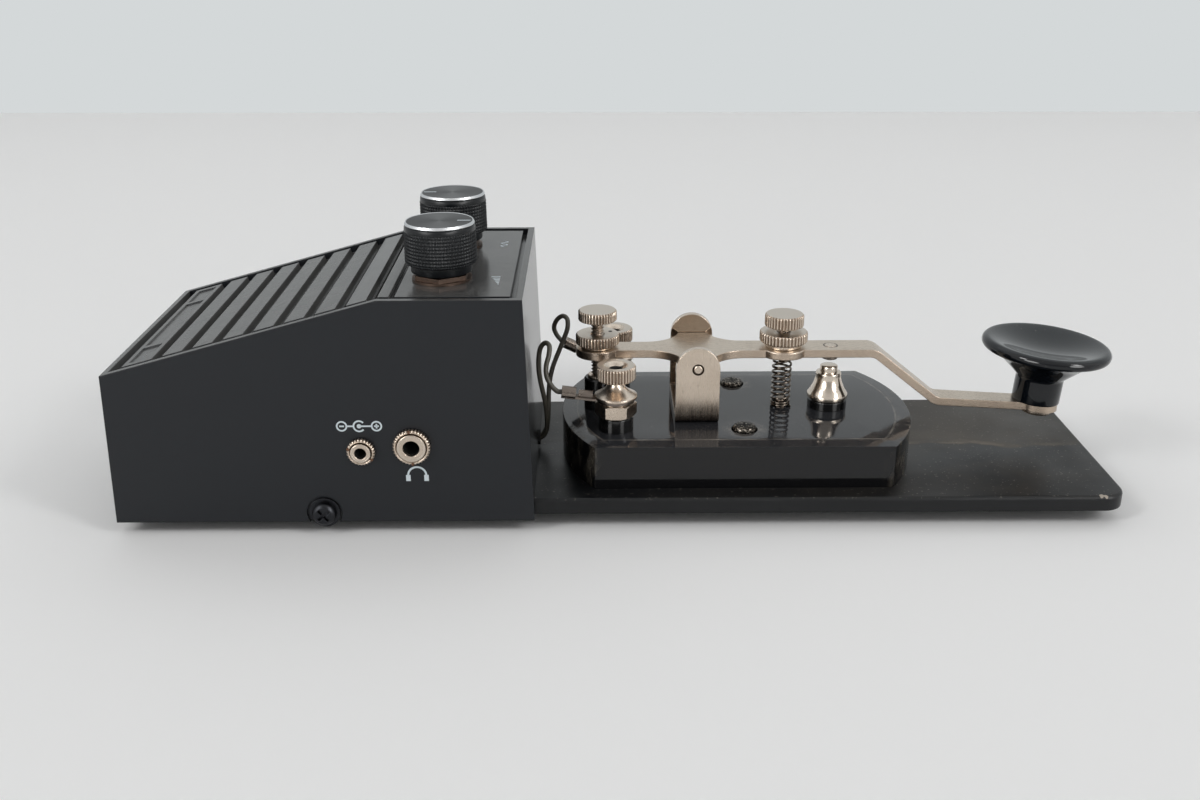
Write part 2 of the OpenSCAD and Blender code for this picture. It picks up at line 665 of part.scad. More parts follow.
// U-shaped trunnion bent from one strip
module trunnion() {
    half = ears_w / 2;
    bend = 2.2;
    inner = bend - ear_t;
    h = pivot_z - base_top;
    top = h + ear_r + ear_rise;
    color([0.72, 0.7, 0.66]) translate([pivot_x, 0, base_top]) difference() {
        intersection() {
            translate([-ear_r, 0, 0]) rotate([90, 0, 90]) linear_extrude(2 * ear_r) difference() {
                union() {
                    translate([-half, bend]) square([ears_w, top]);
                    translate([bend - half, 0]) square([ears_w - 2 * bend, bend + 1]);
                    for (y = [-1, 1]) translate([y * (half - bend), bend]) circle(bend);
                }
                translate([ear_t - half, ear_t + inner]) square([ears_w - 2 * ear_t, top + cut]);
                translate([bend - half, ear_t]) square([ears_w - 2 * bend, inner + 1]);
                for (y = [-1, 1]) translate([y * (half - bend), bend]) circle(inner);
            }
            for (side = [0, 1]) translate([0, side * (half + 1), 0]) rotate([90, 0, 0])
                linear_extrude(half + 1) {
                    translate([-ear_r, 0]) square([2 * ear_r, h + side * ear_rise]);
                    translate([0, h + side * ear_rise]) circle(ear_r);
                }
        }
        translate([0, 20, h]) rotate([90, 0, 0]) cylinder(h = 40, r = pin_r + 0.01);
        for (y = [-1, 1]) translate([0, y * 4.5, -cut]) cylinder(h = 5, r = 1.4);
    }
}

module trunnion_screws() {
    color([0.7, 0.68, 0.64]) for (y = [-1, 1]) translate([pivot_x, y * 4.5, base_top + ear_t])
        pan_screw(2.2, 1.5, 1.2, ear_t + base_roof - 0.4);
}

module pivot_pin() {
    half = ears_w / 2 + 0.2;
    color([0.75, 0.73, 0.7]) translate([pivot_x, -half, pivot_z]) rotate([-90, 0, 0]) rotate_extrude()
        polygon([[0, 0], [pin_r - 0.2, 0], [pin_r, 0.2], [pin_r, 2 * half - 0.2],
            [pin_r - 0.2, 2 * half], [0, 2 * half]]);
}

// Side view of the lever: level, steep, then nearly level again
module lever_side() {
    d = lever_t / 2;
    A = [contact_x - contact_boss_r - 1, mid_z];
    B = [bend_x, mid_z];
    C = [low_x, low_z];
    D = [toe_x + toe_r + 1, toe_mid_z - (toe_r + 1) * tan(toe_angle)];
    up = [-sin(-toe_angle), cos(-toe_angle)];
    top = [A + [0, d], mitre(A, B, C, d), mitre(B, C, D, d), D + d * up];
    low = [A - [0, d], mitre(A, B, C, -d), mitre(B, C, D, -d), D - d * up];
    r = 3.6;
    polygon(concat([top[0]], fillet(top[0], top[1], top[2], r + d), fillet(top[1], top[2], top[3], r - d),
        [top[3]], [low[3]], fillet(low[3], low[2], low[1], r + d), fillet(low[2], low[1], low[0], r - d),
        [low[0]]));
}

// Plan of the lever: arms, cross, two bosses and the eye
module lever_plan() {
    rear = rear_arm_w / 2;
    front = front_arm_w / 2;
    toe = toe_arm_w / 2;
    cove = 8;
    tip = 3;
    translate([contact_x, -rear]) square([contact_back, rear_arm_w]);
    translate([pivot_x, -front]) square([bend_fwd, front_arm_w]);
    polygon([[bend_x, -front], [low_x, -toe], [toe_x, -toe], [toe_x, toe], [low_x, toe], [bend_x, front]]);
    translate([contact_x, 0]) circle(contact_boss_r);
    translate([spring_x, 0]) circle(spring_boss_r);
    translate([toe_x, 0]) circle(toe_r);
    translate([pivot_x, 0]) difference() {
        translate([-tip - cove, -cross_half]) square([2 * (tip + cove), 2 * cross_half]);
        for (y = [-1, 1]) {
            translate([-tip - cove, y * (rear + cove)]) circle(cove);
            translate([tip + cove, y * (front + cove)]) circle(cove);
        }
    }
}

// Frame on the lever's last part, at the finger knob's seat, with Z along the knob's axis
module on_toe() {
    translate([toe_x, 0, toe_mid_z]) rotate([0, toe_angle, 0]) children();
}

module lever() {
    hub_r = 2.2;
    color([0.74, 0.71, 0.66]) difference() {
        union() {
            intersection() {
                linear_extrude(60) lever_plan();
                translate([0, 20, 0]) rotate([90, 0, 0]) linear_extrude(40) lever_side();
            }
            difference() {
                translate([pivot_x, cross_half, pivot_z]) rotate([90, 0, 0])
                    cylinder(h = 2 * cross_half, r = hub_r);
                translate([pivot_x - 10, -20, lever_top]) cube([20, 40, 10]);
            }
        }
        translate([pivot_x, 20, pivot_z]) rotate([90, 0, 0]) cylinder(h = 40, r = pin_r + running_gap);
        for (x = [contact_x, spring_x]) translate([x, 0, 20]) cylinder(h = 20, r = thread_r + running_gap);
        translate([anvil_x, 0, 20]) cylinder(h = 20, r = 1.38);
        on_toe() translate([0, 0, -5]) cylinder(h = 10, r = 1.6);
    }
}

module upper_contact() {
    color([0.78, 0.75, 0.7]) translate([anvil_x, 0, lever_bottom - stub_h]) rotate_extrude()
        polygon([[0, 0], [1.1, 0.05], [1.7, 0.3], [1.85, 0.6], [1.85, stub_h], [1.36, stub_h],
            [1.36, stub_h + lever_t + 0.05], [0, stub_h + lever_t + 0.05]]);
}

// Bell-shaped lower contact with a threaded hole from below
module front_anvil() {
    h = anvil_top - anvil_bottom;
    shoulder = h - 1.1;
    color([0.76, 0.73, 0.68]) translate([anvil_x, 0, anvil_bottom]) difference() {
        rotate_extrude() polygon(concat([[0, 0], [4.45, 0], [4.6, 0.25], [4.6, 0.9], [4.45, 1.15]],
            [for (i = [1:7]) let (k = i / 7) [2.85 + 1.6 * pow(1 - k, 1.9), 1.15 + (shoulder - 1.6) * k]],
            [[2.85, shoulder - 0.1], [2.7, shoulder], [2, shoulder], [2, h - 0.2], [1.8, h], [0, h]]));
        translate([0, 0, -cut]) cylinder(h = 3.6 + cut, r = thread_r + 0.02);
    }
}

// Insulating bushes under the front contact and the binding posts
module pedestals() {
    color([0.04, 0.04, 0.045]) {
        translate([anvil_x, 0, base_top]) bush(4.45, pedestal_h);
        for (y = [-1, 1]) translate([post_x, y * post_y, base_top]) bush(3.9, binding_pedestal_h);
    }
}

module bush(r, h) {
    difference() {
        rotate_extrude() polygon([[0, 0], [r, 0], [r, h - 0.35], [r - 0.35, h], [0, h]]);
        translate([0, 0, -cut]) cylinder(h = h + 2 * cut, r = screw_hole_r);
    }
}

module rear_pedestal() {
    color([0.05, 0.05, 0.055]) translate([contact_x, 0, base_top]) bush(3.1, rear_post_h);
}

module rear_contact() {
    color([0.76, 0.73, 0.68]) translate([contact_x, 0, base_top + rear_post_h]) {
        rotate_extrude() polygon([[0, 0], [2.3, 0], [2.3, rear_disc_h - 0.2], [2.1, rear_disc_h],
            [0, rear_disc_h]]);
        translate([0, 0, -rear_post_h - base_roof + 0.6])
            cylinder(h = rear_post_h + base_roof - 0.5, r = thread_r);
    }
}

module contact_screw() {
    head_z = lever_top + 6.4;
    color([0.78, 0.75, 0.7]) translate([contact_x, 0, 0]) {
        translate([0, 0, head_z]) knurled(contact_head_r, 2.3);
        translate([0, 0, screw_tip_z]) rotate_extrude()
            polygon([[0, 0], [thread_r - 0.45, 0], [thread_r, 0.45], [thread_r, head_z - screw_tip_z + 0.1],
                [0, head_z - screw_tip_z + 0.1]]);
    }
}

module lock_nut(x, r, hub_r) {
    hub_h = 0.7;
    translate([x, 0, lock_z]) difference() {
        union() {
            cylinder(h = hub_h + 0.1, r = hub_r);
            translate([0, 0, hub_h]) knurled(r, 2.4);
        }
        translate([0, 0, -cut]) cylinder(h = 10, r = thread_r + running_gap);
    }
}

module contact_lock_nut() {
    color([0.78, 0.75, 0.7]) difference() {
        lock_nut(contact_x, contact_lock_r, 3.7);
        translate([contact_x + 2.9, 1.2, lock_z + 2.3]) cylinder(h = 2, r = 0.45);
    }
}

module spring_lock_nut() {
    color([0.78, 0.75, 0.7]) lock_nut(spring_x, spring_lock_r, 4.1);
}

// The screw's thin tip holds the small top turn of the spring
module spring_screw() {
    head_z = lever_top + 5;
    color([0.78, 0.75, 0.7]) translate([spring_x, 0, 0]) {
        translate([0, 0, head_z]) knurled(spring_head_r, 2.6, 0.4);
        translate([0, 0, spring_screw_tip]) cylinder(h = head_z - spring_screw_tip + 0.1, r = thread_r);
        translate([0, 0, spring_screw_tip - 1.6]) cylinder(h = 1.7, r = 0.85);
    }
}

module spring_seat() {
    color([0.6, 0.58, 0.55]) translate([spring_x, 0, base_top]) {
        rotate_extrude() polygon([[0, 0], [1.5, 0], [1.5, 0.3], [1.2, 0.5], [1.2, 1.7], [0.9, 2], [0, 2]]);
        translate([0, 0, -2.8]) cylinder(h = 2.9, r = 1);
    }
}

// Compression spring whose last turn closes in to the screw's tip
spring_rings = 8;
spring_low = spring_floor + spring_wire_r + 0.02;
spring_high = spring_screw_tip - spring_wire_r - 0.02;
spring_tail = 1.4;
function coil_r(k) = spring_r - (spring_r - 1.2) * max(0, (k - spring_turns + 1.2) / 1.2);
function coil_point(k) = [coil_r(k) * cos(360 * k), coil_r(k) * sin(360 * k),
    spring_low + (spring_high - spring_low) * k / spring_turns];
spring_path = concat([[spring_r, -spring_tail, spring_low]],
    [for (i = [0:spring_turns * spring_rings]) coil_point(i / spring_rings)]);

// Least distance between the wire's centre line and itself a good half turn away, less the wire
spring_gap = min([for (i = [1:len(spring_path) - 1], j = [i + spring_rings - 2:1:len(spring_path) - 1])
    norm(spring_path[i] - spring_path[j])]) - 2 * spring_wire_r;
echo(spring_gap = spring_gap);

module lever_spring() {
    color([0.5, 0.48, 0.45]) translate([spring_x, 0, 0]) tube(spring_path, spring_wire_r, 6);
}

module finger_knob() {
    n = finger_neck_r;
    r = finger_r;
    h = finger_h;
    color([0.03, 0.03, 0.035]) on_toe() translate([0, 0, lever_t / 2]) difference() {
        rotate_extrude() polygon(concat([[0, 0], [n - 0.3, 0], [n, 0.3], [n, 5.4]],
            arc([n + 1.2, 5.4], 1.2, 180, 135, 3),
            [[r - 4, h - 3.9]], arc([r - rim_r, rim_z], rim_r, -45, 90, 8),
            [for (i = [1:6]) let (k = i / 6) [(r - 1.6) * (1 - k), h - 0.35 - 2.1 * sin(90 * k)]]));
        translate([0, 0, -cut]) cylinder(h = 7 + cut, r = 1.52);
    }
}

module finger_knob_screw() {
    color([0.6, 0.58, 0.55]) on_toe() translate([0, 0, -lever_t / 2]) {
        rotate([180, 0, 0]) pan_screw(3.6, 1.2, 1, 0.5);
        cylinder(h = lever_t + 6.5, r = 1.5);
    }
}

// Screws that come up through the base and carry the binding posts and the front contact
module binding_studs() {
    head_h = 1.6;
    under = base_top - base_roof - 0.5;
    color([0.7, 0.68, 0.62]) {
        for (y = [-1, 1]) translate([post_x, y * post_y, under]) {
            cylinder(h = stud_top - under, r = thread_r);
            translate([0, 0, -head_h]) cylinder(h = head_h, r = 2.75);
        }
        translate([anvil_x, 0, under]) {
            cylinder(h = anvil_bottom + 3.4 - under, r = thread_r);
            translate([0, 0, -head_h]) cylinder(h = head_h, r = 2.75);
        }
    }
}

// Hexagon nuts with a flat towards each long side and a round face on top
module binding_nuts() {
    flats = 8;
    corner = flats / 2 / cos(30);
    bevel = corner - 0.1 - flats / 2;
    color([0.78, 0.75, 0.7]) for (y = [-1, 1]) translate([post_x, y * post_y, nut_z]) difference() {
        union() {
            intersection() {
                hex_prism(flats, nut_h, 0);
                rotate_extrude() polygon([[0, 0], [corner - bevel, 0], [corner, 0.35],
                    [corner, nut_h - 0.35], [corner - bevel, nut_h], [0, nut_h]]);
            }
            cylinder(h = nut_h + nut_face_h, r = 3.4);
        }
        translate([0, 0, -cut]) cylinder(h = 10, r = thread_r + 0.02);
    }
}

// Knurled thumb nut with a waisted neck and a clamping flange
module thumb_nut() {
    neck = 1.7;
    head_h = 3.15;
    color([0.78, 0.75, 0.7]) difference() {
        union() {
            rotate_extrude() polygon(concat([[0, 0], [4.5, 0], [4.7, 0.2], [4.7, 0.8]],
                [for (i = [0:8]) let (k = i / 8) [neck + (4.4 - neck) * pow(1 - k, 2.2), 0.85 + 3 * k]],
                [[neck, thumb_h - head_h], [0, thumb_h - head_h]]));
            translate([0, 0, thumb_h - head_h]) knurled(thumb_r, head_h, 0.3);
        }
        translate([0, 0, -cut]) cylinder(h = 1.9 + cut, r = thread_r + running_gap);
        translate([0, 0, thumb_h - 2]) cylinder(h = 3, r = 1.1);
        translate([0, 0, thumb_h - 0.6]) cylinder(h = 1, r1 = 1.4, r2 = 2.6);
    }
}

module near_thumb_nut() {
    translate([post_x, -post_y, thumb_z]) thumb_nut();
}

module far_thumb_nut() {
    translate([post_x, post_y, thumb_z]) thumb_nut();
}

// Ring terminals on the ends of the two leads: ring, bent tongue, wire crimp and insulation grip
module ring_lugs() {
    grip_l = 3.1;
    barrel_l = 3.1;
    color([0.66, 0.64, 0.6]) for (l = lugs) {
        difference() {
            translate([0, l[0] * post_y, lug_z]) {
                translate([post_x, 0, 0]) cylinder(h = lug_t, r = 4.2);
                translate([lug_neck_x - 0.2, -1.1, 0]) cube([1.2, 2.2, lug_t]);
            }
            translate([post_x, l[0] * post_y, lug_z - cut]) cylinder(h = 3, r = thread_r + 0.1);
        }
        translate([lug_neck_x, l[0] * post_y, lug_z + lug_t / 2]) rotate([0, l[1], 0]) difference() {
            union() {
                translate([-l[2] + 0.5, -1.1, -lug_t / 2]) cube([l[2] - 0.5, 2.2, lug_t]);
                translate([-barrel_l - 0.4, 0, lug_axis]) rotate([0, 90, 0]) cylinder(h = barrel_l, r = 0.95);
                translate([-l[2], 0, lug_axis]) rotate([0, 90, 0]) cylinder(h = grip_l, r = 1.4);
            }
            translate([-1.6, 0, lug_axis]) rotate([0, 90, 0]) cylinder(h = 3, r = 0.45);
        }
    }
}

module key_wires() {
    color([0.22, 0.2, 0.18]) {
        tube(far_route, wire_r, 8);
        tube(near_route, wire_r, 8);
    }
}

module wire_grommet() {
    wall_x = case_l - end_draft * grommet_z;
    flange_h = 0.6;
    flange_x = wall_x - case_wall - flange_h - 0.1;
    color([0.06, 0.06, 0.06]) translate([flange_x, 0, grommet_z]) rotate([0, 90, 0]) difference() {
        union() {
            cylinder(h = case_wall + 1.1, r = grommet_r - 0.05);
            cylinder(h = flange_h, r = grommet_r + 0.4);
        }
        translate([0, 0, -cut]) cylinder(h = 10, r = 2 * wire_r + 0.1);
    }
}

// Brass strips under the base that join the binding posts to the contacts
module strap_bar(a, b) {
    d = b - a;
    difference() {
        union() {
            translate(a) rotate(atan2(d[1], d[0])) translate([0, -2.5]) square([norm(d), 5]);
            for (p = [a, b]) translate(p) circle(3.2);
        }
        for (p = [a, b]) translate(p) circle(screw_hole_r);
    }
}

module contact_straps() {
    color([0.75, 0.6, 0.3]) translate([0, 0, base_top - base_roof - 0.5]) linear_extrude(0.5) {
        strap_bar([post_x, -post_y], [anvil_x, 0]);
        strap_bar([post_x, post_y], [pivot_x - 1, 8]);
    }
}

// Speaker parts hang from the slope, Z = 0 at the rim's seat and pointing out of the case
module in_speaker() {
    on_slope() translate([speaker_s, 0, -speaker_z]) children();
}

module grille_cloth() {
    cloth_half = speaker_r - 0.2;
    color([0.05, 0.05, 0.05]) on_slope() difference() {
        translate([speaker_s - cloth_half, -cloth_half, -case_roof - cloth_t])
            cube([2 * cloth_half - 1, 2 * cloth_half, cloth_t]);
        for (x = [-1, 1], y = [-1, 1]) translate([speaker_s + x * peg_offset, y * peg_offset, -case_roof - 2])
            cylinder(h = 4, r = peg_r + 0.2);
    }
}

module speaker_frame() {
    r = speaker_r;
    color([0.55, 0.55, 0.56]) in_speaker() {
        rotate_extrude() polygon([[r - 3.6, -0.8], [r - 2.5, -0.8], [r - 2.5, 0], [r, 0], [r, -1],
            [r - 1, -1], [r - 2, -1.5], [r - 6, -magnet_z + 0.6], [magnet_r, -magnet_z],
            [magnet_r, -magnet_z - magnet_h], [0, -magnet_z - magnet_h], [0, 0.8 - magnet_z],
            [magnet_r - 1.5, 0.8 - magnet_z], [r - 6.4, 1.4 - magnet_z]]);
        translate([tag_reach - 2, -6, tag_z - 1]) cube([2, 12, 2.8]);
    }
}

module speaker_cone() {
    r = speaker_r;
    color([0.12, 0.11, 0.1]) in_speaker() rotate_extrude()
        polygon(concat([[r - 2.6, -0.3], [r - 2.6, -0.8], [r - 3.8, -0.8], [r - 5.4, -1.1], [7, -5.4],
            [0, -5.4], [0, -3.1]],
            [for (i = [1:4]) [6.4 * sin(i * 22.5), -4.8 + 1.7 * cos(i * 22.5)]],
            [[r - 5.4, -0.6], [r - 4.4, -0.1], [r - 3.8, -0.3]]));
}

module speaker_clips() {
    color([0.6, 0.6, 0.6]) in_speaker() for (x = [-1, 1], y = [-1, 1])
        translate([x * peg_offset, y * peg_offset, -1.5]) difference() {
            cylinder(h = 0.5, r = 4.2);
            translate([0, 0, -cut]) cylinder(h = 3, r = peg_r + 0.02);
        }
}

module battery() {
    s = battery_size;
    color([0.2, 0.2, 0.22]) translate([battery_x, 0, plate_top]) {
        difference() {
            translate([0, -s[1] / 2, 0]) cube(s);
            for (y = [-1, 1], z = [0, 1]) translate([-cut, y * s[1] / 2, z * s[2]])
                rotate([0, 90, 0]) rotate(45) cube([2.4, 2.4, 2 * s[0]], center = true);
        }
        for (y = [-1, 1]) translate([s[0] - 0.1, y * snap_y, s[2] / 2]) rotate([0, 90, 0])
            cylinder(h = stud_out + 0.1, r = stud_r);
    }
}

module battery_snap() {
    middle_z = plate_top + battery_size[2] / 2;
    color([0.1, 0.1, 0.1]) translate([battery_end + snap_gap, 0, middle_z]) difference() {
        translate([0, -snap_size[1] / 2, -snap_size[2] / 2]) cube(snap_size);
        for (y = [-1, 1]) translate([-cut, y * snap_y, 0]) rotate([0, 90, 0])
            cylinder(h = cut + stud_out, r = stud_r + 0.2);
    }
}

// Steel strap that holds the battery down on the plate
module battery_strap() {
    half = battery_size[1] / 2 + clear;
    top = battery_size[2] + 0.1;
    foot = half + strap_t + strap_foot;
    color([0.6, 0.6, 0.6]) translate([strap_x, 0, plate_top]) difference() {
        rotate([90, 0, 90]) linear_extrude(strap_w) polygon([[-foot, 0], [-half, 0], [-half, top],
            [half, top], [half, 0], [foot, 0], [foot, strap_t], [half + strap_t, strap_t],
            [half + strap_t, top + strap_t], [-half - strap_t, top + strap_t], [-half - strap_t, strap_t],
            [-foot, strap_t]]);
        for (p = strap_screws) translate([strap_w / 2, p[1], -cut]) cylinder(h = 4, r = screw_hole_r);
    }
}

// Small screws inside the case: two for the battery strap, four for the circuit board
module inner_screws() {
    color([0.7, 0.7, 0.7]) {
        for (p = strap_screws) translate([p[0], p[1], plate_top + strap_t])
            pan_screw(2.6, 1.6, thread_r, strap_t + plate_t + 0.6);
        for (p = board_holes) translate([p[0], p[1], board_z + board_t])
            pan_screw(2.6, 1.6, thread_r, board_t + 5 + plate_t + 0.6);
    }
}

module circuit_board() {
    color([0.45, 0.32, 0.16]) difference() {
        translate([board_x[0], -board_half, board_z])
            cube([board_x[1] - board_x[0], 2 * board_half, board_t]);
        for (p = board_holes) translate([p[0], p[1], board_z - cut]) cylinder(h = 5, r = screw_hole_r);
    }
}

module board_spacers() {
    color([0.75, 0.65, 0.35]) for (p = board_holes) translate([p[0], p[1], plate_top]) difference() {
        hex_prism(5, board_z - plate_top);
        translate([0, 0, -cut]) cylinder(h = 10, r = screw_hole_r);
    }
}

// What stands on the board: [share of its length, place across it, then radius and height]
transistor_r = 2.4;
transistor_flat = 1.2;
transistor_h = 6.5;
lead_h = 1.6;
lead_w = 0.5;
core_size = [13, 5, 11];
core_window = [7, 5.8];
core_screw_room = 2.7;
wrap_out = 1.6;
core_y = board_half - hole_inset - core_screw_room - core_size[1];
middle_transistor = on_board(0.75, 2.6);
// The last transistor stands midway between the one before it and the transformer
last_transistor = [on_board(0.72, 0)[0], (middle_transistor[1] + core_y - wrap_out + transistor_r) / 2];
transistor_places = [on_board(0.25, -3.6), middle_transistor, last_transistor];
capacitor_list = [[0.25, 2.6, 3, 9], [0.75, -3.6, 2.6, 7], [0.66, -10, 3.2, 10]];
resistor_places = [on_board(0.27, -8.3), on_board(0.27, -10.7), on_board(0.3, -16.3), on_board(0.72, -16.3)];

module transistors() {
    color([0.05, 0.05, 0.05]) for (p = transistor_places)
        translate([p[0], p[1], board_top]) difference() {
            cylinder(h = transistor_h, r = transistor_r);
            translate([-transistor_r - cut, transistor_flat, -cut])
                cube([2 * (transistor_r + cut), transistor_r, transistor_h + 2 * cut]);
            translate([0, 0, -cut]) cylinder(h = cut + lead_h, r = transistor_r + cut);
        }
    color([0.7, 0.7, 0.7]) for (p = transistor_places, x = [-1.3, 0, 1.3])
        translate([p[0] + x - lead_w / 2, p[1] - lead_w / 2, board_top]) cube([lead_w, lead_w, lead_h]);
}

module capacitors() {
    color([0.1, 0.16, 0.3]) for (p = capacitor_list)
        translate(concat(on_board(p[0], p[1]), board_top)) rotate_extrude()
            polygon([[0, 0], [p[2], 0], [p[2], p[3] - 0.3], [p[2] - 0.3, p[3]], [0, p[3]]]);
}

// Resistors lie along X, each with its two wire ends bent down to the board
resistor_l = 3.2;
resistor_r = 0.8;
resistor_lift = 1.4;

module resistors() {
    for (p = resistor_places) translate([p[0], p[1], board_top]) {
        color([0.7, 0.6, 0.45]) translate([-resistor_l / 2, 0, resistor_lift]) rotate([0, 90, 0])
            cylinder(h = resistor_l, r = resistor_r);
        color([0.7, 0.7, 0.7]) for (e = [-1, 1])
            translate([e * (resistor_l + 0.4) / 2 - lead_w / 2, -0.2, 0])
                cube([lead_w, 0.4, resistor_lift + 0.2]);
    }
}

// A winding with a small gap all round it, in the window of an iron core
module output_transformer() {
    c = core_size;
    w = core_window;
    slack = 0.2;
    color([0.35, 0.35, 0.37]) translate([board_x[1] - c[0] - 1, core_y, board_top]) {
        difference() {
            cube(c);
            translate([(c[0] - w[0]) / 2, -cut, (c[2] - w[1]) / 2]) cube([w[0], c[1] + 2 * cut, w[1]]);
        }
        translate([(c[0] - w[0]) / 2 + slack, -wrap_out, (c[2] - w[1]) / 2 + slack])
            cube([w[0] - 2 * slack, c[1] + 2 * wrap_out, w[1] - 2 * slack]);
    }
}

// Short insulated leads between the board and the parts round it
module hookup_leads() {
    color([0.5, 0.1, 0.08]) for (p = lead_routes) tube(p, 0.5, 8);
}

// Rotary control: a round can under the case's top with a threaded bushing through it
can_r = 8;
can_h = 8.5;
pot_bush_r = 3.5;
pot_proud = 1.5;
tag_out = 2.2;
tag_w = 12;
tag_t = 1.2;
pot_washer_r = 6.3;
pot_washer_t = 0.5;
pot_nut_t = 0.9;
pot_nut_flats = 10.6;

module pot(y) {
    floor_t = 1.5;
    bush_h = case_roof - rib_drop + pot_proud;
    color([0.6, 0.6, 0.6]) translate([pot_x, y, 0]) difference() {
        union() {
            translate([0, 0, roof_z - can_h]) cylinder(h = can_h, r = can_r);
            translate([0, 0, roof_z - 0.1]) cylinder(h = bush_h + 0.1, r = pot_bush_r);
            translate([-can_r - tag_out, -tag_w / 2, roof_z - can_h + 1]) cube([tag_out + 3.8, tag_w, tag_t]);
        }
        translate([0, 0, roof_z - can_h + floor_t])
            cylinder(h = can_h + case_roof + pot_proud, r = shaft_r + running_gap);
    }
}

module volume_pot() {
    pot(-pot_y);
}

module tone_pot() {
    pot(pot_y);
}

module pot_nuts() {
    seat_z = case_high_h - rib_drop;
    color([0.45, 0.4, 0.36]) for (y = [-1, 1]) translate([pot_x, y * pot_y, seat_z]) difference() {
        union() {
            cylinder(h = pot_washer_t, r = pot_washer_r);
            translate([0, 0, pot_washer_t]) hex_prism(pot_nut_flats, pot_nut_t);
        }
        translate([0, 0, -cut]) cylinder(h = 5, r = pot_bush_r + 0.02);
    }
}

module control_shaft(y) {
    bottom = roof_z - can_h + 1.7;
    top = knob_z + knob_bore - 0.5;
    color([0.75, 0.74, 0.72]) translate([pot_x, y, bottom]) cylinder(h = top - bottom, r = shaft_r);
}

module volume_shaft() {
    control_shaft(-pot_y);
}

module tone_shaft() {
    control_shaft(pot_y);
}

// Control knob: a plain skirt under a body with fine straight ribs
module control_knob(y) {
    h = knob_top_z - cap_t - knob_z;
    skirt_r = knob_r - 1.2;
    core = knob_r - knurl_d - 0.03;
    color([0.06, 0.065, 0.07]) translate([pot_x, y, knob_z]) difference() {
        union() {
            rotate_extrude() polygon([[0, 0], [skirt_r - 0.3, 0], [skirt_r, 0.3], [skirt_r, skirt_h],
                [core - 0.3, skirt_h], [core, skirt_h + 0.3], [core, h - 0.5], [core - 0.1, h], [0, h]]);
            translate([0, 0, skirt_h + 0.4]) teeth_ring(knob_r, h - skirt_h - 1.7, knob_teeth);
        }
        translate([0, 0, -cut]) cylinder(h = knob_bore + cut, r = shaft_r + 0.02);
    }
}

module volume_knob() {
    control_knob(-pot_y);
}

module tone_knob() {
    control_knob(pot_y);
}

module knob_cap(y) {
    r = knob_r - 0.3;
    color([0.5, 0.5, 0.5]) translate([pot_x, y, knob_top_z - cap_t]) rotate_extrude()
        polygon([[0, 0], [r, 0], [r, 0.15], [r - 0.55, cap_t], [0, cap_t]]);
}

module volume_knob_cap() {
    knob_cap(-pot_y);
}

module tone_knob_cap() {
    knob_cap(pot_y);
}

// Socket with its bore open to the near side, drawn along Z out of the case
module jack(bush_r, bore_r, body, depth, proud) {
    lean = side_draft * body / 2 + 0.01;
    difference() {
        union() {
            translate([-body / 2, -body / 2, -case_wall - depth - lean]) cube([body, body, depth]);
            translate([0, 0, -case_wall - 0.2]) cylinder(h = case_wall + 0.2 + proud, r = bush_r);
        }
        translate([0, 0, proud - depth]) cylinder(h = depth + cut, r = bore_r);
    }
}

module at_socket(x, z) {
    translate([x, side_draft * z - case_w / 2, z]) rotate([90, 0, 0]) children();
}

module earphone_jack() {
    color([0.72, 0.7, 0.66]) at_socket(phone_x, phone_z) jack(3, phone_bore_r, 9, 11.5, 1.78);
}

module power_jack() {
    color([0.72, 0.7, 0.66]) at_socket(power_x, power_z) jack(2.1, power_bore_r, 7.4, 9, 1.65);
}

module socket_nut(r, h, bore) {
    difference() {
        translate([0, 0, side_draft * r + 0.01]) knurled(r, h, 0.35);
        translate([0, 0, -cut]) cylinder(h = 6, r = bore);
    }
}

module earphone_nut() {
    color([0.76, 0.74, 0.7]) at_socket(phone_x, phone_z) socket_nut(3.95, 1.5, 3.02);
}

module power_nut() {
    color([0.76, 0.74, 0.7]) at_socket(power_x, power_z) socket_nut(3, 1.35, 2.12);
}

placed() base_plate();
placed() rubber_feet();
placed() case_shell();
placed() case_washers();
placed() case_screws();
placed() grille_cloth();
placed() speaker_frame();
placed() speaker_cone();
placed() speaker_clips();
placed() battery();
placed() battery_snap();
placed() battery_strap();
placed() inner_screws();
placed() circuit_board();
placed() board_spacers();
placed() transistors();
placed() capacitors();
placed() resistors();
placed() output_transformer();
placed() hookup_leads();
placed() volume_pot();
placed() tone_pot();
placed() pot_nuts();
placed() volume_shaft();
placed() tone_shaft();
placed() volume_knob();
placed() tone_knob();
placed() volume_knob_cap();
placed() tone_knob_cap();
placed() earphone_jack();
placed() earphone_nut();
placed() power_jack();
placed() power_nut();
placed() key_base();
placed() key_base_screws();
placed() trunnion();
placed() trunnion_screws();
placed() pivot_pin();
placed() lever();
placed() finger_knob();
placed() finger_knob_screw();
placed() contact_screw();
placed() contact_lock_nut();
placed() spring_screw();
placed() spring_lock_nut();
placed() lever_spring();
placed() spring_seat();
placed() upper_contact();
placed() front_anvil();
placed() pedestals();
placed() rear_contact();
placed() rear_pedestal();
placed() binding_studs();
placed() binding_nuts();
placed() near_thumb_nut();
placed() far_thumb_nut();
placed() ring_lugs();
placed() key_wires();
placed() wire_grommet();
placed() contact_straps();
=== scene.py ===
import math
from functools import partial, reduce

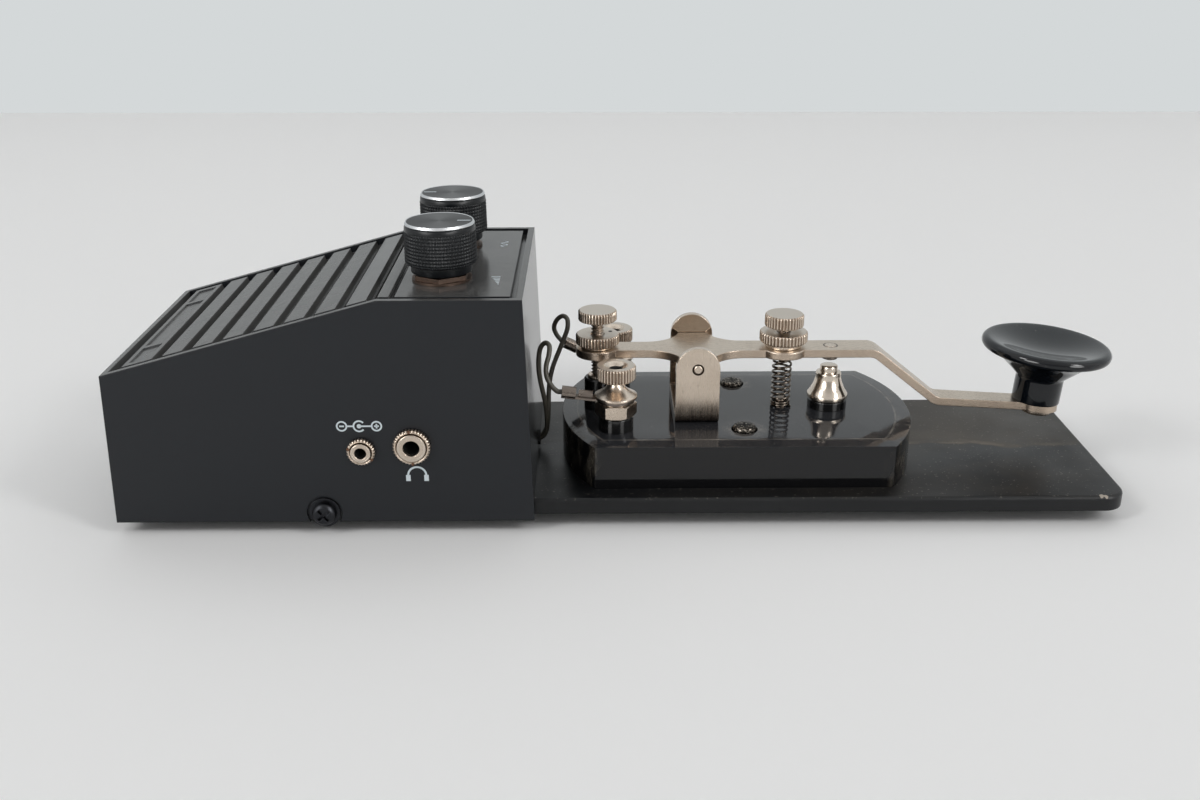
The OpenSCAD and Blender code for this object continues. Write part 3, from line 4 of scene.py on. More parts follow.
import bmesh
import bpy
import numpy as np
from mathutils import Matrix, Vector
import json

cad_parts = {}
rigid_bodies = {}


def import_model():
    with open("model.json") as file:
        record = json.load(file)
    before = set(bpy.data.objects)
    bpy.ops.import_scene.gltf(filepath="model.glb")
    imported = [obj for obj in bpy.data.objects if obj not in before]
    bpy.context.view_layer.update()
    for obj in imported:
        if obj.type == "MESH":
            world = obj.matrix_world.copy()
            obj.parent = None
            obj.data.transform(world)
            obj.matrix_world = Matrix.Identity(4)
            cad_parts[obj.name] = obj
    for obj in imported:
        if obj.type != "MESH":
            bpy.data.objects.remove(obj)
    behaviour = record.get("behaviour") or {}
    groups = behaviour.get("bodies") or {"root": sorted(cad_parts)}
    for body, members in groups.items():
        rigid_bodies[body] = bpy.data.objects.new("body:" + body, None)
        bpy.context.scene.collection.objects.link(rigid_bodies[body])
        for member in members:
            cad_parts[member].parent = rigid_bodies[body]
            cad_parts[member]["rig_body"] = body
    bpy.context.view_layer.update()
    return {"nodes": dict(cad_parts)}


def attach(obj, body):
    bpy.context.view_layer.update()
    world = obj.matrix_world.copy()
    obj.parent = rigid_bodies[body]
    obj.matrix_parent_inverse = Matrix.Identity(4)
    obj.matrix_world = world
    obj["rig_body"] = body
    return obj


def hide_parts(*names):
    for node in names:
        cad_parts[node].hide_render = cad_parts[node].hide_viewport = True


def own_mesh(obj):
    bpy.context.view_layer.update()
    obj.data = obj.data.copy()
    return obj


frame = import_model()
nodes = frame["nodes"]
print("frame loaded:", len(nodes), "nodes")

# Lengths below are in millimetres, measured as on the drawing: X from the low end of the case,
# Y from the middle, Z from the lower edge of the case. This shift takes them to the frame.
shift = np.array([-109.557, 0.0, 3.0])
mm = 0.001


def toFrame(points):
    # drawing millimetres to frame metres
    return (np.asarray(points, float) + shift) * mm


# Camera, fitted to the straight edges of the case, plate and key base

cameraSettings = {
    "position": (101.485, -268.5, 123.83), "pitch": 21.98, "yaw": 0.304, "roll": -0.171,
    "lens": 37.69, "sensor": 36, "nearest": 0.01, "farthest": 20,
}


def makeCamera(s):
    # looks along +Y, turned by yaw, tipped down by pitch and rolled about its own axis
    pitch, yaw, roll = (math.radians(s[key]) for key in ("pitch", "yaw", "roll"))
    forward = Vector((math.sin(yaw) * math.cos(pitch), math.cos(yaw) * math.cos(pitch), -math.sin(pitch)))
    right = Vector((math.cos(yaw), -math.sin(yaw), 0))
    up = right.cross(forward)
    right, up = right * math.cos(roll) + up * math.sin(roll), up * math.cos(roll) - right * math.sin(roll)
    data = bpy.data.cameras.new("photoCamera")
    data.sensor_width, data.lens = s["sensor"], s["lens"]
    data.clip_start, data.clip_end = s["nearest"], s["farthest"]
    camera = bpy.data.objects.new("photoCamera", data)
    bpy.context.scene.collection.objects.link(camera)
    turn = Matrix((right, up, -forward)).transposed().to_4x4()
    camera.matrix_world = Matrix.Translation(toFrame(s["position"])) @ turn
    bpy.context.scene.camera = camera


makeCamera(cameraSettings)
print("camera set")


# Shader helpers. A mask is a number between nought and one.

product = {"operation": "MULTIPLY", "use_clamp": True}
total = {"operation": "ADD", "use_clamp": True}
greater = {"operation": "MAXIMUM", "use_clamp": True}


def linear(code, share=1.0):
    # an sRGB hex colour as linear red, green and blue times a share, with full alpha
    channels = [int(code[i:i + 2], 16) / 255 for i in (1, 3, 5)]
    return [(c / 12.92 if c <= 0.04045 else ((c + 0.055) / 1.055) ** 2.4) * share for c in channels] + [1.0]


def connect(item, inputs):
    # sets inputs, by name or number, to a value or links them to a socket
    for key, value in inputs.items():
        if isinstance(value, bpy.types.NodeSocket):
            item.id_data.links.new(value, item.inputs[key])
        else:
            item.inputs[key].default_value = value


def addNode(tree, kind, *values, out=None, **settings):
    # Adds a node and gives its first output in use, or the one named. The values go to the inputs in use, in order.
    # A setting with a capital names an input, any other is a property of the node.
    item = tree.nodes.new("ShaderNode" + kind)
    for key, value in settings.items():
        if key[0].islower():
            setattr(item, key, value)
    inUse = [number for number, socket in enumerate(item.inputs) if socket.enabled]
    connect(item, dict(zip(inUse, values)))
    connect(item, {key: value for key, value in settings.items() if key[0].isupper()})
    return item.outputs[out] if out else next(socket for socket in item.outputs if socket.enabled)


def newMaterial(name, **constants):
    # a material with one Principled shader whose constants are set on its own sockets
    material = bpy.data.materials.new(name)
    material.use_nodes = True
    shader = material.node_tree.nodes["Principled BSDF"]
    connect(shader, {key.replace("_", " "): value for key, value in constants.items()})
    add = partial(addNode, material.node_tree)
    return material, shader, add, add("TexCoord", out="Object")


def grain(add, coords, sizeMm, detail=3.0, stretch=(1, 1, 1), rough=0.5):
    # noise whose grains are about sizeMm wide, drawn out along an axis by a stretch under 1
    scaled = add("Mapping", Vector=coords, Scale=[share * 1000 / sizeMm for share in stretch])
    return add("TexNoise", Vector=scaled, Scale=1.0, Detail=detail, Roughness=rough)


def patches(add, coords, sizeMm, detail, limits, levels=(0.0, 1.0), **more):
    # noise whose values between two limits are spread over two levels
    return add("MapRange", grain(add, coords, sizeMm, detail, **more), *limits, *levels)


def together(add, *masks):
    # masks multiplied one after another
    return reduce(lambda first, second: add("Math", first, second, **product), masks)


def layered(add, base, *layers):
    # colours laid over a base one after another, each where its mask is
    for mask, colour in layers:
        base = add("Mix", mask, base, colour, data_type="RGBA")
    return base


def spot(add, coords, centre, radiusMm, soft=0.6):
    # one near a point of the drawing, nought outside radiusMm, falling from the share soft of it
    away = add("VectorMath", coords, toFrame(centre).tolist(), operation="DISTANCE")
    return add("MapRange", away, radiusMm * soft * mm, radiusMm * mm, 1.0, 0.0)


def facingUp(add, low=0.5, high=0.95):
    # one where the surface looks up, for dust that settles
    up = add("SeparateXYZ", add("NewGeometry", out="Normal"), out="Z")
    return add("MapRange", up, low, high, 0.0, 1.0)


def bumped(add, height, depthMm, edgeMm=0.0):
    # normal over a height field, on edges that are rounded by edgeMm in the shading
    inputs = {"Strength": 1.0, "Distance": depthMm * mm, "Height": height}
    if edgeMm:
        inputs["Normal"] = add("Bevel", Radius=edgeMm * mm, samples=6)
    return add("Bump", **inputs)


# Materials, each from what the real one is. Heights and places inside them are in frame metres.

def mouldedAbs():
    # ABS, injection moulded in a spark-eroded tool: a fine even grain that is satin, brighter where it is seen flat
    s = {"body": "#101318", "dust": "#6b665f", "layer": "#6e6d6b", "grainMm": 0.22, "grainDepthMm": 0.012,
         "edgeMm": 0.3, "slopeFoot": (0.034, 0.0345), "slopeTop": (-0.048, -0.0475), "panel": (0.0499, 0.0502)}
    material, shader, add, coords = newMaterial("mouldedAbs", Roughness=0.42, IOR=1.43)
    up = facingUp(add)
    x, z = (add("SeparateXYZ", coords, out=axis) for axis in "XZ")
    across = add("SeparateXYZ", add("NewGeometry", out="Normal"), out="X")
    specks = together(add, patches(add, coords, 0.5, 1.0, (0.7, 0.74)), 0.16, up)
    film = together(add, patches(add, coords, 14.0, 4.0, (0.45, 0.75), (0.0, 0.05)), up)
    # dust lies on the slope and the panel; the walls of the grooves that face the key take a paler layer, partly dust
    # and partly painted light that brightens the shaded grooves
    lying = together(add, add("MapRange", z, *s["slopeFoot"], 0.0, 1.0), up,
                     patches(add, coords, 2.5, 3.0, (0.3, 0.7), (0.42, 0.68)))
    onWall = together(add, add("MapRange", x, *s["slopeTop"], 1.0, 0.0), add("MapRange", z, 0.0335, 0.034, 0.0, 1.0),
                      add("MapRange", across, 0.5, 0.8, 0.0, 1.0),
                      patches(add, coords, 2.5, 3.0, (0.0, 1.0), (0.6, 1.0)))
    layer = together(add, add("Math", lying, onWall, **greater), 0.75)
    colour = layered(add, linear(s["body"]), (specks, linear(s["dust"])), (film, linear(s["dust"])),
                     (layer, linear(s["layer"])))
    # the end walls come off a smoother part of the tool than the long walls, and the flat panel off the smoothest
    ends = add("MapRange", together(add, across, across), 0.9, 0.97, 1.0, 0.4)
    smooth = together(add, ends, add("MapRange", up, 0.0, 1.0, 1.0, 0.62))
    panel = together(add, add("MapRange", z, *s["panel"], 0.0, 1.0), up)
    rough = together(add, patches(add, coords, 9.0, 4.0, (0.0, 1.0), (0.41, 0.47)), smooth,
                     add("MapRange", panel, 0.0, 1.0, 1.0, 0.7))
    height = together(add, grain(add, coords, s["grainMm"], 2.0), smooth, add("MapRange", panel, 0.0, 1.0, 1.0, 0.2))
    connect(shader, {"Base Color": colour, "Roughness": rough,
                     "Normal": bumped(add, height, s["grainDepthMm"], s["edgeMm"])})
    return material


def satinPaint():
    # Stoved satin black paint on pressed steel: smooth, with hand smudges, dust and one chip at a corner
    s = {"paint": "#0f1012", "smudge": "#6b6256", "dust": "#8b867e", "primer": "#a49a8e", "film": 0.42,
         "chip": (((211.7, -27.0, 4.8), 0.65), ((210.9, -26.9, 4.8), 0.6))}
    material, shader, add, coords = newMaterial("satinPaint", Roughness=0.3, IOR=1.4)
    up = facingUp(add)
    # a cloth went along a line that wavers a little: a film of dust stayed behind it, with a crest on the line; the
    # paler far part behind the line is also a painted reflection of the pale wall
    wiped = add("Math", grain(add, coords, 30.0), 0.02, add("SeparateXYZ", coords, out="Y"), operation="MULTIPLY_ADD")
    behind = add("MapRange", wiped, 0.0095, 0.013, 0.0, s["film"])
    touched = patches(add, coords, 22.0, 5.0, (0.5, 0.68), (0.0, 0.3), stretch=(0.6, 1, 1), rough=0.6)
    crest = together(add, add("MapRange", wiped, 0.0092, 0.01, 0.0, 1.0),
                     add("MapRange", wiped, 0.0102, 0.0125, 1.0, 0.0),
                     patches(add, coords, 3.0, 5.0, (0.35, 0.6), (0.2, 1.0), stretch=(0.5, 1, 1), rough=0.65))
    smudge = add("Math", add("Math", touched, behind, **total), crest, **total)
    nearKey = add("MapRange", spot(add, coords, (186, 6, 4), 34, 0.1), 0.0, 1.0, 0.25, 1.0)
    smudge = together(add, smudge, nearKey, up)
    specks = together(add, patches(add, coords, 0.6, 1.0, (0.69, 0.73)), 0.35, up)
    fuzz = add("VectorMath", add("TexNoise", Vector=coords, Scale=900.0, out="Color"), Scale=0.0016, operation="SCALE")
    wobble = add("VectorMath", coords, fuzz, operation="ADD")
    chip = add("Math", *[spot(add, wobble, centre, radius, 0.8) for centre, radius in s["chip"]], **greater)
    colour = layered(add, linear(s["paint"]), (smudge, linear(s["smudge"])), (specks, linear(s["dust"])),
                     (chip, linear(s["primer"])))
    rough = add("MapRange", add("Math", smudge, grain(add, coords, 12.0), **total), 0.3, 0.9, 0.28, 0.5)
    connect(shader, {"Base Color": colour, "Roughness": rough,
                     "Normal": bumped(add, grain(add, coords, 1.2, 2.0), 0.004, 0.25)})
    return material


def baseGrimeAndHighlight(add, coords, up, radius):
    # Polish left round the two screws, dust on the rim of the rounded ends, and a pale line where the bevel begins,
    # which is dust and a painted edge highlight, with dried polish along it: the outline is nought at a bevel's width
    # inside the base's own ends and flats.
    s = {"screws": ((134.7, -13.9, 14), (134.7, 13.9, 14)), "middle": (134, 0, 0), "bevelMm": 3.4, "flat": 0.0196}
    halos = [spot(add, coords, centre, 5.5, 0.45) for centre in s["screws"]]
    halo = together(add, add("Math", *halos, **greater),
                    patches(add, coords, 2.2, 5.0, (0.35, 0.65), (0.0, 0.75), rough=0.65), up)
    x, y = (add("SeparateXYZ", coords, out=axis) for axis in "XY")
    offset = add("Math", x, float(toFrame(s["middle"])[0]), operation="SUBTRACT")
    reach = add("VectorMath", add("CombineXYZ", offset, y), operation="LENGTH")
    rim = together(add, add("MapRange", reach, (radius - 2) * mm, (radius - 0.3) * mm, 0.0, 1.0),
                   patches(add, coords, 3.0, 5.0, (0.47, 0.7), (0.0, 0.6), stretch=(1, 1, 0.4), rough=0.65))
    ends = add("Math", reach, (radius - s["bevelMm"]) * mm, operation="SUBTRACT")
    flats = add("Math", add("Math", y, operation="ABSOLUTE"), s["flat"], operation="SUBTRACT")
    outline = add("Math", ends, flats, operation="MAXIMUM")
    bevelLineDustAndHighlight = together(add, add("MapRange", add("Math", outline, operation="ABSOLUTE"), 0.00012, 0.00032, 1.0, 0.0),
                      patches(add, coords, 4.0, 4.0, (0.35, 0.6), (0.15, 0.8)))
    dried = together(add, add("MapRange", outline, 0.0, 0.0016, 0.8, 0.0),
                     add("MapRange", outline, -0.0003, 0.0, 0.0, 1.0),
                     add("MapRange", ends, -0.0005, 0.0, 0.0, 1.0),
                     patches(add, coords, 2.5, 5.0, (0.4, 0.7), (0.0, 0.8), rough=0.65))
    return halo, rim, together(add, add("Math", bevelLineDustAndHighlight, dried, **greater), up)


def glossPhenolic(name, roughness, black, upDustAndSheen, grimeRadius=0.0):
    # Phenolic moulded against polished steel: deep black that mirrors what stands on it, with faint dust; faces that
    # look up are painted paler, a dust film and a painted sheen
    s = {"dust": "#77726a", "halo": "#76706a", "rim": "#5f594f", "bevelLineDustAndHighlight": "#75706a"}
    material, shader, add, coords = newMaterial(name, Roughness=roughness, IOR=1.46)
    up = facingUp(add)
    specks = together(add, patches(add, coords, 0.55, 1.0, (0.71, 0.75)), 0.3, up)
    haze = patches(add, coords, 12.0, 5.0, (0.42, 0.8), (roughness, roughness + 0.13), rough=0.65)
    # faces that look up take the paler colour: dust film and painted sheen
    colour = layered(add, linear(black), (up, linear(upDustAndSheen)), (specks, linear(s["dust"])))
    if grimeRadius:
        halo, rim, bevelLineDustAndHighlight = baseGrimeAndHighlight(add, coords, up, grimeRadius)
        colour = layered(add, colour, (halo, linear(s["halo"])), (rim, linear(s["rim"])), (bevelLineDustAndHighlight, linear(s["bevelLineDustAndHighlight"])))
        haze = add("Math", haze, add("MapRange", rim, 0.0, 1.0, 0.0, 0.45), **total)
    edgeMm = 0.22 if grimeRadius else 0.0
    connect(shader, {"Base Color": colour, "Roughness": haze,
                     "Normal": bumped(add, grain(add, coords, 6.0, 1.0), 0.004, edgeMm)})
    return material


def gapRing(add, coords, ring):
    # fine dark gap round the end of a pin or rivet: its distance is taken along X and one other axis
    soft = 0.00008
    offsets = [add("Math", add("SeparateXYZ", coords, out=axis), float(toFrame(ring["centre"])["XYZ".index(axis)]),
                   operation="SUBTRACT") for axis in ("X", ring["axis"])]
    reach = add("VectorMath", add("CombineXYZ", *offsets), operation="LENGTH")
    low, high = ring["radius"] * mm, (ring["radius"] + ring["width"]) * mm
    return together(add, add("MapRange", reach, low - soft, low, 0.0, 1.0),
                    add("MapRange", reach, high, high + soft, 1.0, 0.0))


def satinNickel(name, roughness, along=(1, 1, 1), ring=None, tint="#d3c6b8", side="#d4c5b5", pressed=False):
    # Nickel plate over brass, warm with age. Brushed lines run along the axis whose share is small. A pressed
    # bracket is brushed faintly, has dark streaks at its foot that are a painted reflection of the black base, and its
    # far half is smoother where it faces the middle.
    s = {"cloud": "#a08d7a", "spot": "#6a5c50", "gap": "#241b15", "foot": "#5b4c42"}
    material, shader, add, coords = newMaterial(name, Metallic=1.0, Roughness=roughness)
    brushed = grain(add, coords, 0.13, 3.0, along, 0.6)
    # upright faces take the side colour and faces that look up the tint; on the lever the side colour is darker and
    # warmer
    colour = layered(add, linear(side), (facingUp(add, 0.1, 0.8), linear(tint)),
                     (patches(add, coords, 5.0, 4.0, (0.45, 0.8), (0.0, 0.3), rough=0.6), linear(s["cloud"])),
                     (patches(add, coords, 0.9, 2.0, (0.68, 0.78), (0.0, 0.35)), linear(s["spot"])))
    if ring:
        colour = layered(add, colour, (gapRing(add, coords, ring), linear(s["gap"])))
    spread = 0.5 if pressed else 1.0
    rough = add("MapRange", brushed, 0.3, 0.7, roughness - 0.06 * spread, roughness + 0.12 * spread)
    if pressed:
        y, z = (add("SeparateXYZ", coords, out=axis) for axis in "YZ")
        # dark streaks low on the bracket: painted reflection of the black base below
        streaks = add("Math", grain(add, coords, 0.35, 2.0, (1, 1, 0.03)), 0.006, z, operation="MULTIPLY_ADD")
        colour = layered(add, colour, (add("MapRange", streaks, 0.0205, 0.0245, 0.8, 0.0), linear(s["foot"])))
        inward = add("SeparateXYZ", add("NewGeometry", out="Normal"), out="Y")
        bright = together(add, add("MapRange", y, 0.004, 0.005, 0.0, 1.0),
                          add("MapRange", inward, -0.9, -0.5, 1.0, 0.0))
        rough = together(add, rough, add("MapRange", bright, 0.0, 1.0, 1.0, 0.5))
        brushed = together(add, brushed, add("MapRange", bright, 0.0, 1.0, 1.0, 0.15))
    connect(shader, {"Base Color": colour, "Roughness": rough, "Normal": bumped(add, brushed, 0.0035 * spread, 0.25)})
    return material


def speckledSteel():
    # Old blued steel: pitted, nearly black, with bare bright points where it was rubbed
    material, shader, add, coords = newMaterial("speckledSteel", Metallic=1.0, Roughness=0.4)
    pits = grain(add, coords, 0.45, 3.0, rough=0.7)
    bare = add("MapRange", pits, 0.52, 0.66, 0.0, 1.0)
    connect(shader, {"Base Color": layered(add, linear("#2c2926"), (bare, linear("#b9b0a4"))),
                     "Roughness": add("MapRange", bare, 0.0, 1.0, 0.5, 0.28), "Normal": bumped(add, pits, 0.12, 0.15)})
    return material


def plainMetal(name, tint, roughness, grainMm=0.3, metallic=1.0):
    # Turned or plated metal: fine tool marks and slight clouding of the plate
    material, shader, add, coords = newMaterial(name, Metallic=metallic, Roughness=roughness)
    clouds = grain(add, coords, 3.0, 4.0)
    colour = layered(add, linear(tint), (add("MapRange", clouds, 0.4, 0.8, 0.0, 0.7), linear(tint, 0.6)))
    rough = add("MapRange", clouds, 0.3, 0.8, roughness - 0.05, roughness + 0.15)
    connect(shader, {"Base Color": colour, "Roughness": rough,
                     "Normal": bumped(add, grain(add, coords, grainMm, 2.0), 0.004, 0.1)})
    return material


def plainPlastic(name, tint, roughness, grainMm=0.4, depthMm=0.008, shade=0.75, edgeMm=0.15, **more):
    # Moulded plastic, rubber, lacquer or sleeve: an even colour with slight clouding and a fine grain
    material, shader, add, coords = newMaterial(name, Roughness=roughness, **more)
    rough = patches(add, coords, 2.0, 3.0, (0.0, 1.0), (roughness - 0.05, roughness + 0.1))
    connect(shader, {"Base Color": layered(add, linear(tint), (grain(add, coords, 4.0, 4.0), linear(tint, shade))),
                     "Roughness": rough, "Normal": bumped(add, grain(add, coords, grainMm, 2.0), depthMm, edgeMm)})
    return material


def spunMetal(name, tint, roughness, anisotropic):
    # Metal faced in a lathe: rings round the middle that stretch each highlight into a fan
    material, shader, add, coords = newMaterial(name, Metallic=1.0, Roughness=roughness, Anisotropic=anisotropic)
    place = add("Mapping", Vector=add("UVMap", uv_map="turned"), Scale=(0.5, 90.0, 1.0))
    rings = add("TexNoise", Vector=place, Scale=1.0, Detail=2.0)
    connect(shader, {"Tangent": add("Tangent", direction_type="UV_MAP", uv_map="turned"),
                     "Base Color": layered(add, linear(tint), (rings, linear(tint, 0.7))),
                     "Normal": bumped(add, rings, 0.002)})
    return material


def wovenCloth():
    # Open grille cloth: plain weave of 0.5 mm threads, grey-brown with dust and painted far paler than the dark cloth,
    # painted light for the floors of the shaded slots
    material, shader, add, coords = newMaterial("wovenCloth", Roughness=0.9, Sheen_Weight=0.3)
    perMetre = 6283.0  # one wave to two threads
    waves = []
    for axis in "XY":
        angle = add("Math", add("SeparateXYZ", coords, out=axis), perMetre, operation="MULTIPLY")
        sine = add("Math", angle, operation="SINE")
        waves.append(add("Math", sine, 0.5, 0.5, operation="MULTIPLY_ADD", use_clamp=True))
    weave = together(add, *waves)
    connect(shader, {"Base Color": layered(add, linear("#5e5a53"), (weave, linear("#989085"))),
                     "Normal": bumped(add, weave, 0.1)})
    return material


def phenolicPaper():
    # Phenolic paper laminate: brown board with darker fibre streaks along one way
    material, shader, add, coords = newMaterial("phenolicPaper", Roughness=0.45)
    fibres = grain(add, coords, 0.8, 4.0, (0.15, 1, 1), 0.6)
    connect(shader, {"Base Color": layered(add, linear("#8a5f30"), (fibres, linear("#6b4520"))),
                     "Normal": bumped(add, fibres, 0.01, 0.1)})
    return material


rivetGap = {"centre": (155.2, 0, 28.6), "radius": 1.4, "axis": "Y", "width": 0.2}
pinGap = {"centre": (124.4, 0, 26.9), "radius": 1.02, "axis": "Z", "width": 0.26}
finishes = {
    "case": mouldedAbs(),
    "paint": satinPaint(),
    "keyBase": glossPhenolic("glossPhenolic", 0.06, "#0d0d0f", "#2b2c2f", 39.7),
    "gloss": glossPhenolic("polishedPhenolic", 0.045, "#0a0e13", "#0f1419"),
    "nickelLever": satinNickel("nickelBrushedLong", 0.28, (0.06, 1, 1), rivetGap, "#cfc2b3", "#bfae9d"),
    "nickelTrunnion": satinNickel("nickelBrushedUpright", 0.24, (1, 1, 0.06), pinGap, pressed=True),
    "nickel": satinNickel("nickelTurned", 0.24),
    # a darker copy of the turned nickel for the spring seat and the screw shanks: painted shade under the spring and
    # the screw heads
    "nickelShaded": satinNickel("nickelPaintedShade", 0.34, tint="#a89c90", side="#a09184"),
    "nickelBright": satinNickel("nickelPolished", 0.13, tint="#dbd0c4", side="#d8ccbe"),
    "nickelRoot": plainMetal("nickelRoots", "#8a7868", 0.42),
    "nickelFace": spunMetal("nickelFaced", "#ded4c8", 0.34, 0.4),
    "spring": plainMetal("springWire", "#665e56", 0.18),
    "screwSteel": speckledSteel(),
    "blackSteel": plainMetal("blackenedSteel", "#37383b", 0.34),
    "zinc": plainMetal("zincPlate", "#9a9a98", 0.35),
    "brass": plainMetal("brassStock", "#b08d4f", 0.3),
    # the nuts under the control knobs: brass coloured dark as painted shade under the knobs
    "potNut": plainMetal("brassInPaintedShade", "#5f5047", 0.45, 0.4),
    "alloy": plainMetal("turnedAluminium", "#b9b9b8", 0.3),
    "capRing": spunMetal("capRing", "#dfe1e3", 0.32, 0.4),
    "capFace": spunMetal("anodisedFace", "#131619", 0.3, 0.6),
    "knob": plainPlastic("knobPhenolic", "#0a0e12", 0.3, 0.5, 0.003, 0.8, 0.1, IOR=1.42),
    "bush": plainPlastic("glossBush", "#0b0b0c", 0.12, 0.8, 0.003, 0.8, 0.2, IOR=1.6),
    "rubber": plainPlastic("footRubber", "#141414", 0.75, 0.4, 0.03),
    "pvc": plainPlastic("wirePvc", "#5b574e", 0.4, 0.8, 0.01, 0.6),
    "tin": plainMetal("tinnedCopper", "#857b73", 0.26, 0.5),
    "board": phenolicPaper(),
    "cloth": wovenCloth(),
    "cone": plainPlastic("paperCone", "#1c1a18", 0.85, 0.5, 0.05, 0.5),  # pressed paper pulp, dyed black
    "can": plainMetal("batteryCan", "#4a4c50", 0.4, 0.6, 0.6),
    "blackPlastic": plainPlastic("componentPlastic", "#0f0f10", 0.5),
    "sleeve": plainPlastic("shrunkSleeve", "#1d2c55", 0.3),
    "lacquer": plainPlastic("resistorLacquer", "#b59a72", 0.35),
    "iron": plainMetal("varnishedIron", "#55534f", 0.5, 0.5),
    "print": plainPlastic("printInk", "#d5dfe4", 0.5, 0.4, 0.002, 0.9, 0.0),
    # the pin-wrench slots of the ring nuts: painted shade
    "slotShade": plainPlastic("oldFluxInSlots", "#6b4a33", 0.6, 0.4, 0.01),
    "hole": plainPlastic("boreShadow", "#070605", 0.7, 0.5, 0.003, 0.8, 0.0),
}
print("materials made:", len(finishes))

nodesByFinish = {
    "paint": "base_plate", "case": "case_shell", "keyBase": "key_base", "gloss": "finger_knob",
    "board": "circuit_board", "rubber": "rubber_feet wire_grommet", "blackSteel": "case_washers case_screws",
    "screwSteel": "key_base_screws",
    "cloth": "grille_cloth", "cone": "speaker_cone", "can": "battery", "sleeve": "capacitors", "lacquer": "resistors",
    "zinc": "speaker_frame speaker_clips battery_strap inner_screws volume_pot tone_pot",
    "blackPlastic": "battery_snap transistors", "brass": "board_spacers binding_studs contact_straps",
    "iron": "output_transformer", "pvc": "hookup_leads key_wires", "potNut": "pot_nuts",
    "alloy": "volume_shaft tone_shaft", "knob": "volume_knob tone_knob", "capRing": "volume_knob_cap tone_knob_cap",
    "nickelTrunnion": "trunnion", "nickelLever": "lever", "nickelShaded": "spring_seat", "nickelBright": "front_anvil",
    "spring": "lever_spring", "bush": "pedestals rear_pedestal", "tin": "ring_lugs",
    "nickel": "earphone_jack earphone_nut power_jack power_nut trunnion_screws pivot_pin finger_knob_screw "
              "contact_screw contact_lock_nut spring_screw spring_lock_nut upper_contact rear_contact binding_nuts "
              "near_thumb_nut far_thumb_nut",
}
nodeFinish = {node: finish for finish, group in nodesByFinish.items() for node in group.split()}
for nodeName, finish in nodeFinish.items():
    mesh = nodes[nodeName].data
    mesh.materials.clear()
    mesh.materials.append(finishes[finish])


# Mesh helpers: a surface is a whole array of points, made into quads at once

onAxis = 1e-6
barFaces = [[3, 2, 1, 0], [4, 5, 6, 7], [0, 1, 5, 4], [1, 2, 6, 5], [2, 3, 7, 6], [3, 0, 4, 7]]


def ringQuads(rows, columns, closed=True):
    # faces of a grid of rows by columns, joined round its columns when closed
    a = np.arange(rows - 1)[:, None] * columns
    b = np.arange(columns if closed else columns - 1)[None, :]
    nextColumn = (b + 1) % columns
    return np.stack([a + b, a + nextColumn, a + columns + nextColumn, a + columns + b], -1).reshape(-1, 4)


def drawnMesh(name, points, faces):
    # a mesh of faces over points that are given in millimetres of the drawing
    mesh = bpy.data.meshes.new(name)
    mesh.from_pydata(toFrame(points).tolist(), [], faces)
    return mesh


def barMesh(name, corners):
    # Straight bars of eight corners each: one end and then the other, both counted anticlockwise as seen from beyond
    # the second.
    bars = np.array(corners, float).reshape(-1, 3)
    return drawnMesh(name, bars, [[v + start for v in face] for start in range(0, len(bars), 8) for face in barFaces])


def cornersOf(halfLength, halfWidth):
    # the corners of a flat rectangle round the origin, counted anticlockwise
    return [(-halfLength, -halfWidth), (halfLength, -halfWidth), (halfLength, halfWidth), (-halfLength, halfWidth)]


def finishPiece(name, mesh, finish, body, sharp=35.0, replaces=()):
    # gives a mesh its shading and finish, and lets it ride on a body in place of the nodes it stands for
    mesh.polygons.foreach_set("use_smooth", np.ones(len(mesh.polygons), bool))
    mesh.update()
    mesh.set_sharp_from_angle(angle=math.radians(sharp))
    for item in ([finish] if isinstance(finish, str) else finish):
        mesh.materials.append(finishes[item])
    piece = bpy.data.objects.new(name, mesh)
    bpy.context.scene.collection.objects.link(piece)
    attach(piece, body)
    if replaces:
        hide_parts(*replaces)
    return piece


def profileRows(profile):
    # rows of radius, height and knurl share, which is nought where it isn't given
    return np.array([(*row, 0.0)[:3] for row in profile], float)


def reachAlong(profile):
    # length along a profile at the end of each of its spans
    return np.cumsum([math.dist(a[:2], b[:2]) for a, b in zip(profile, profile[1:])])


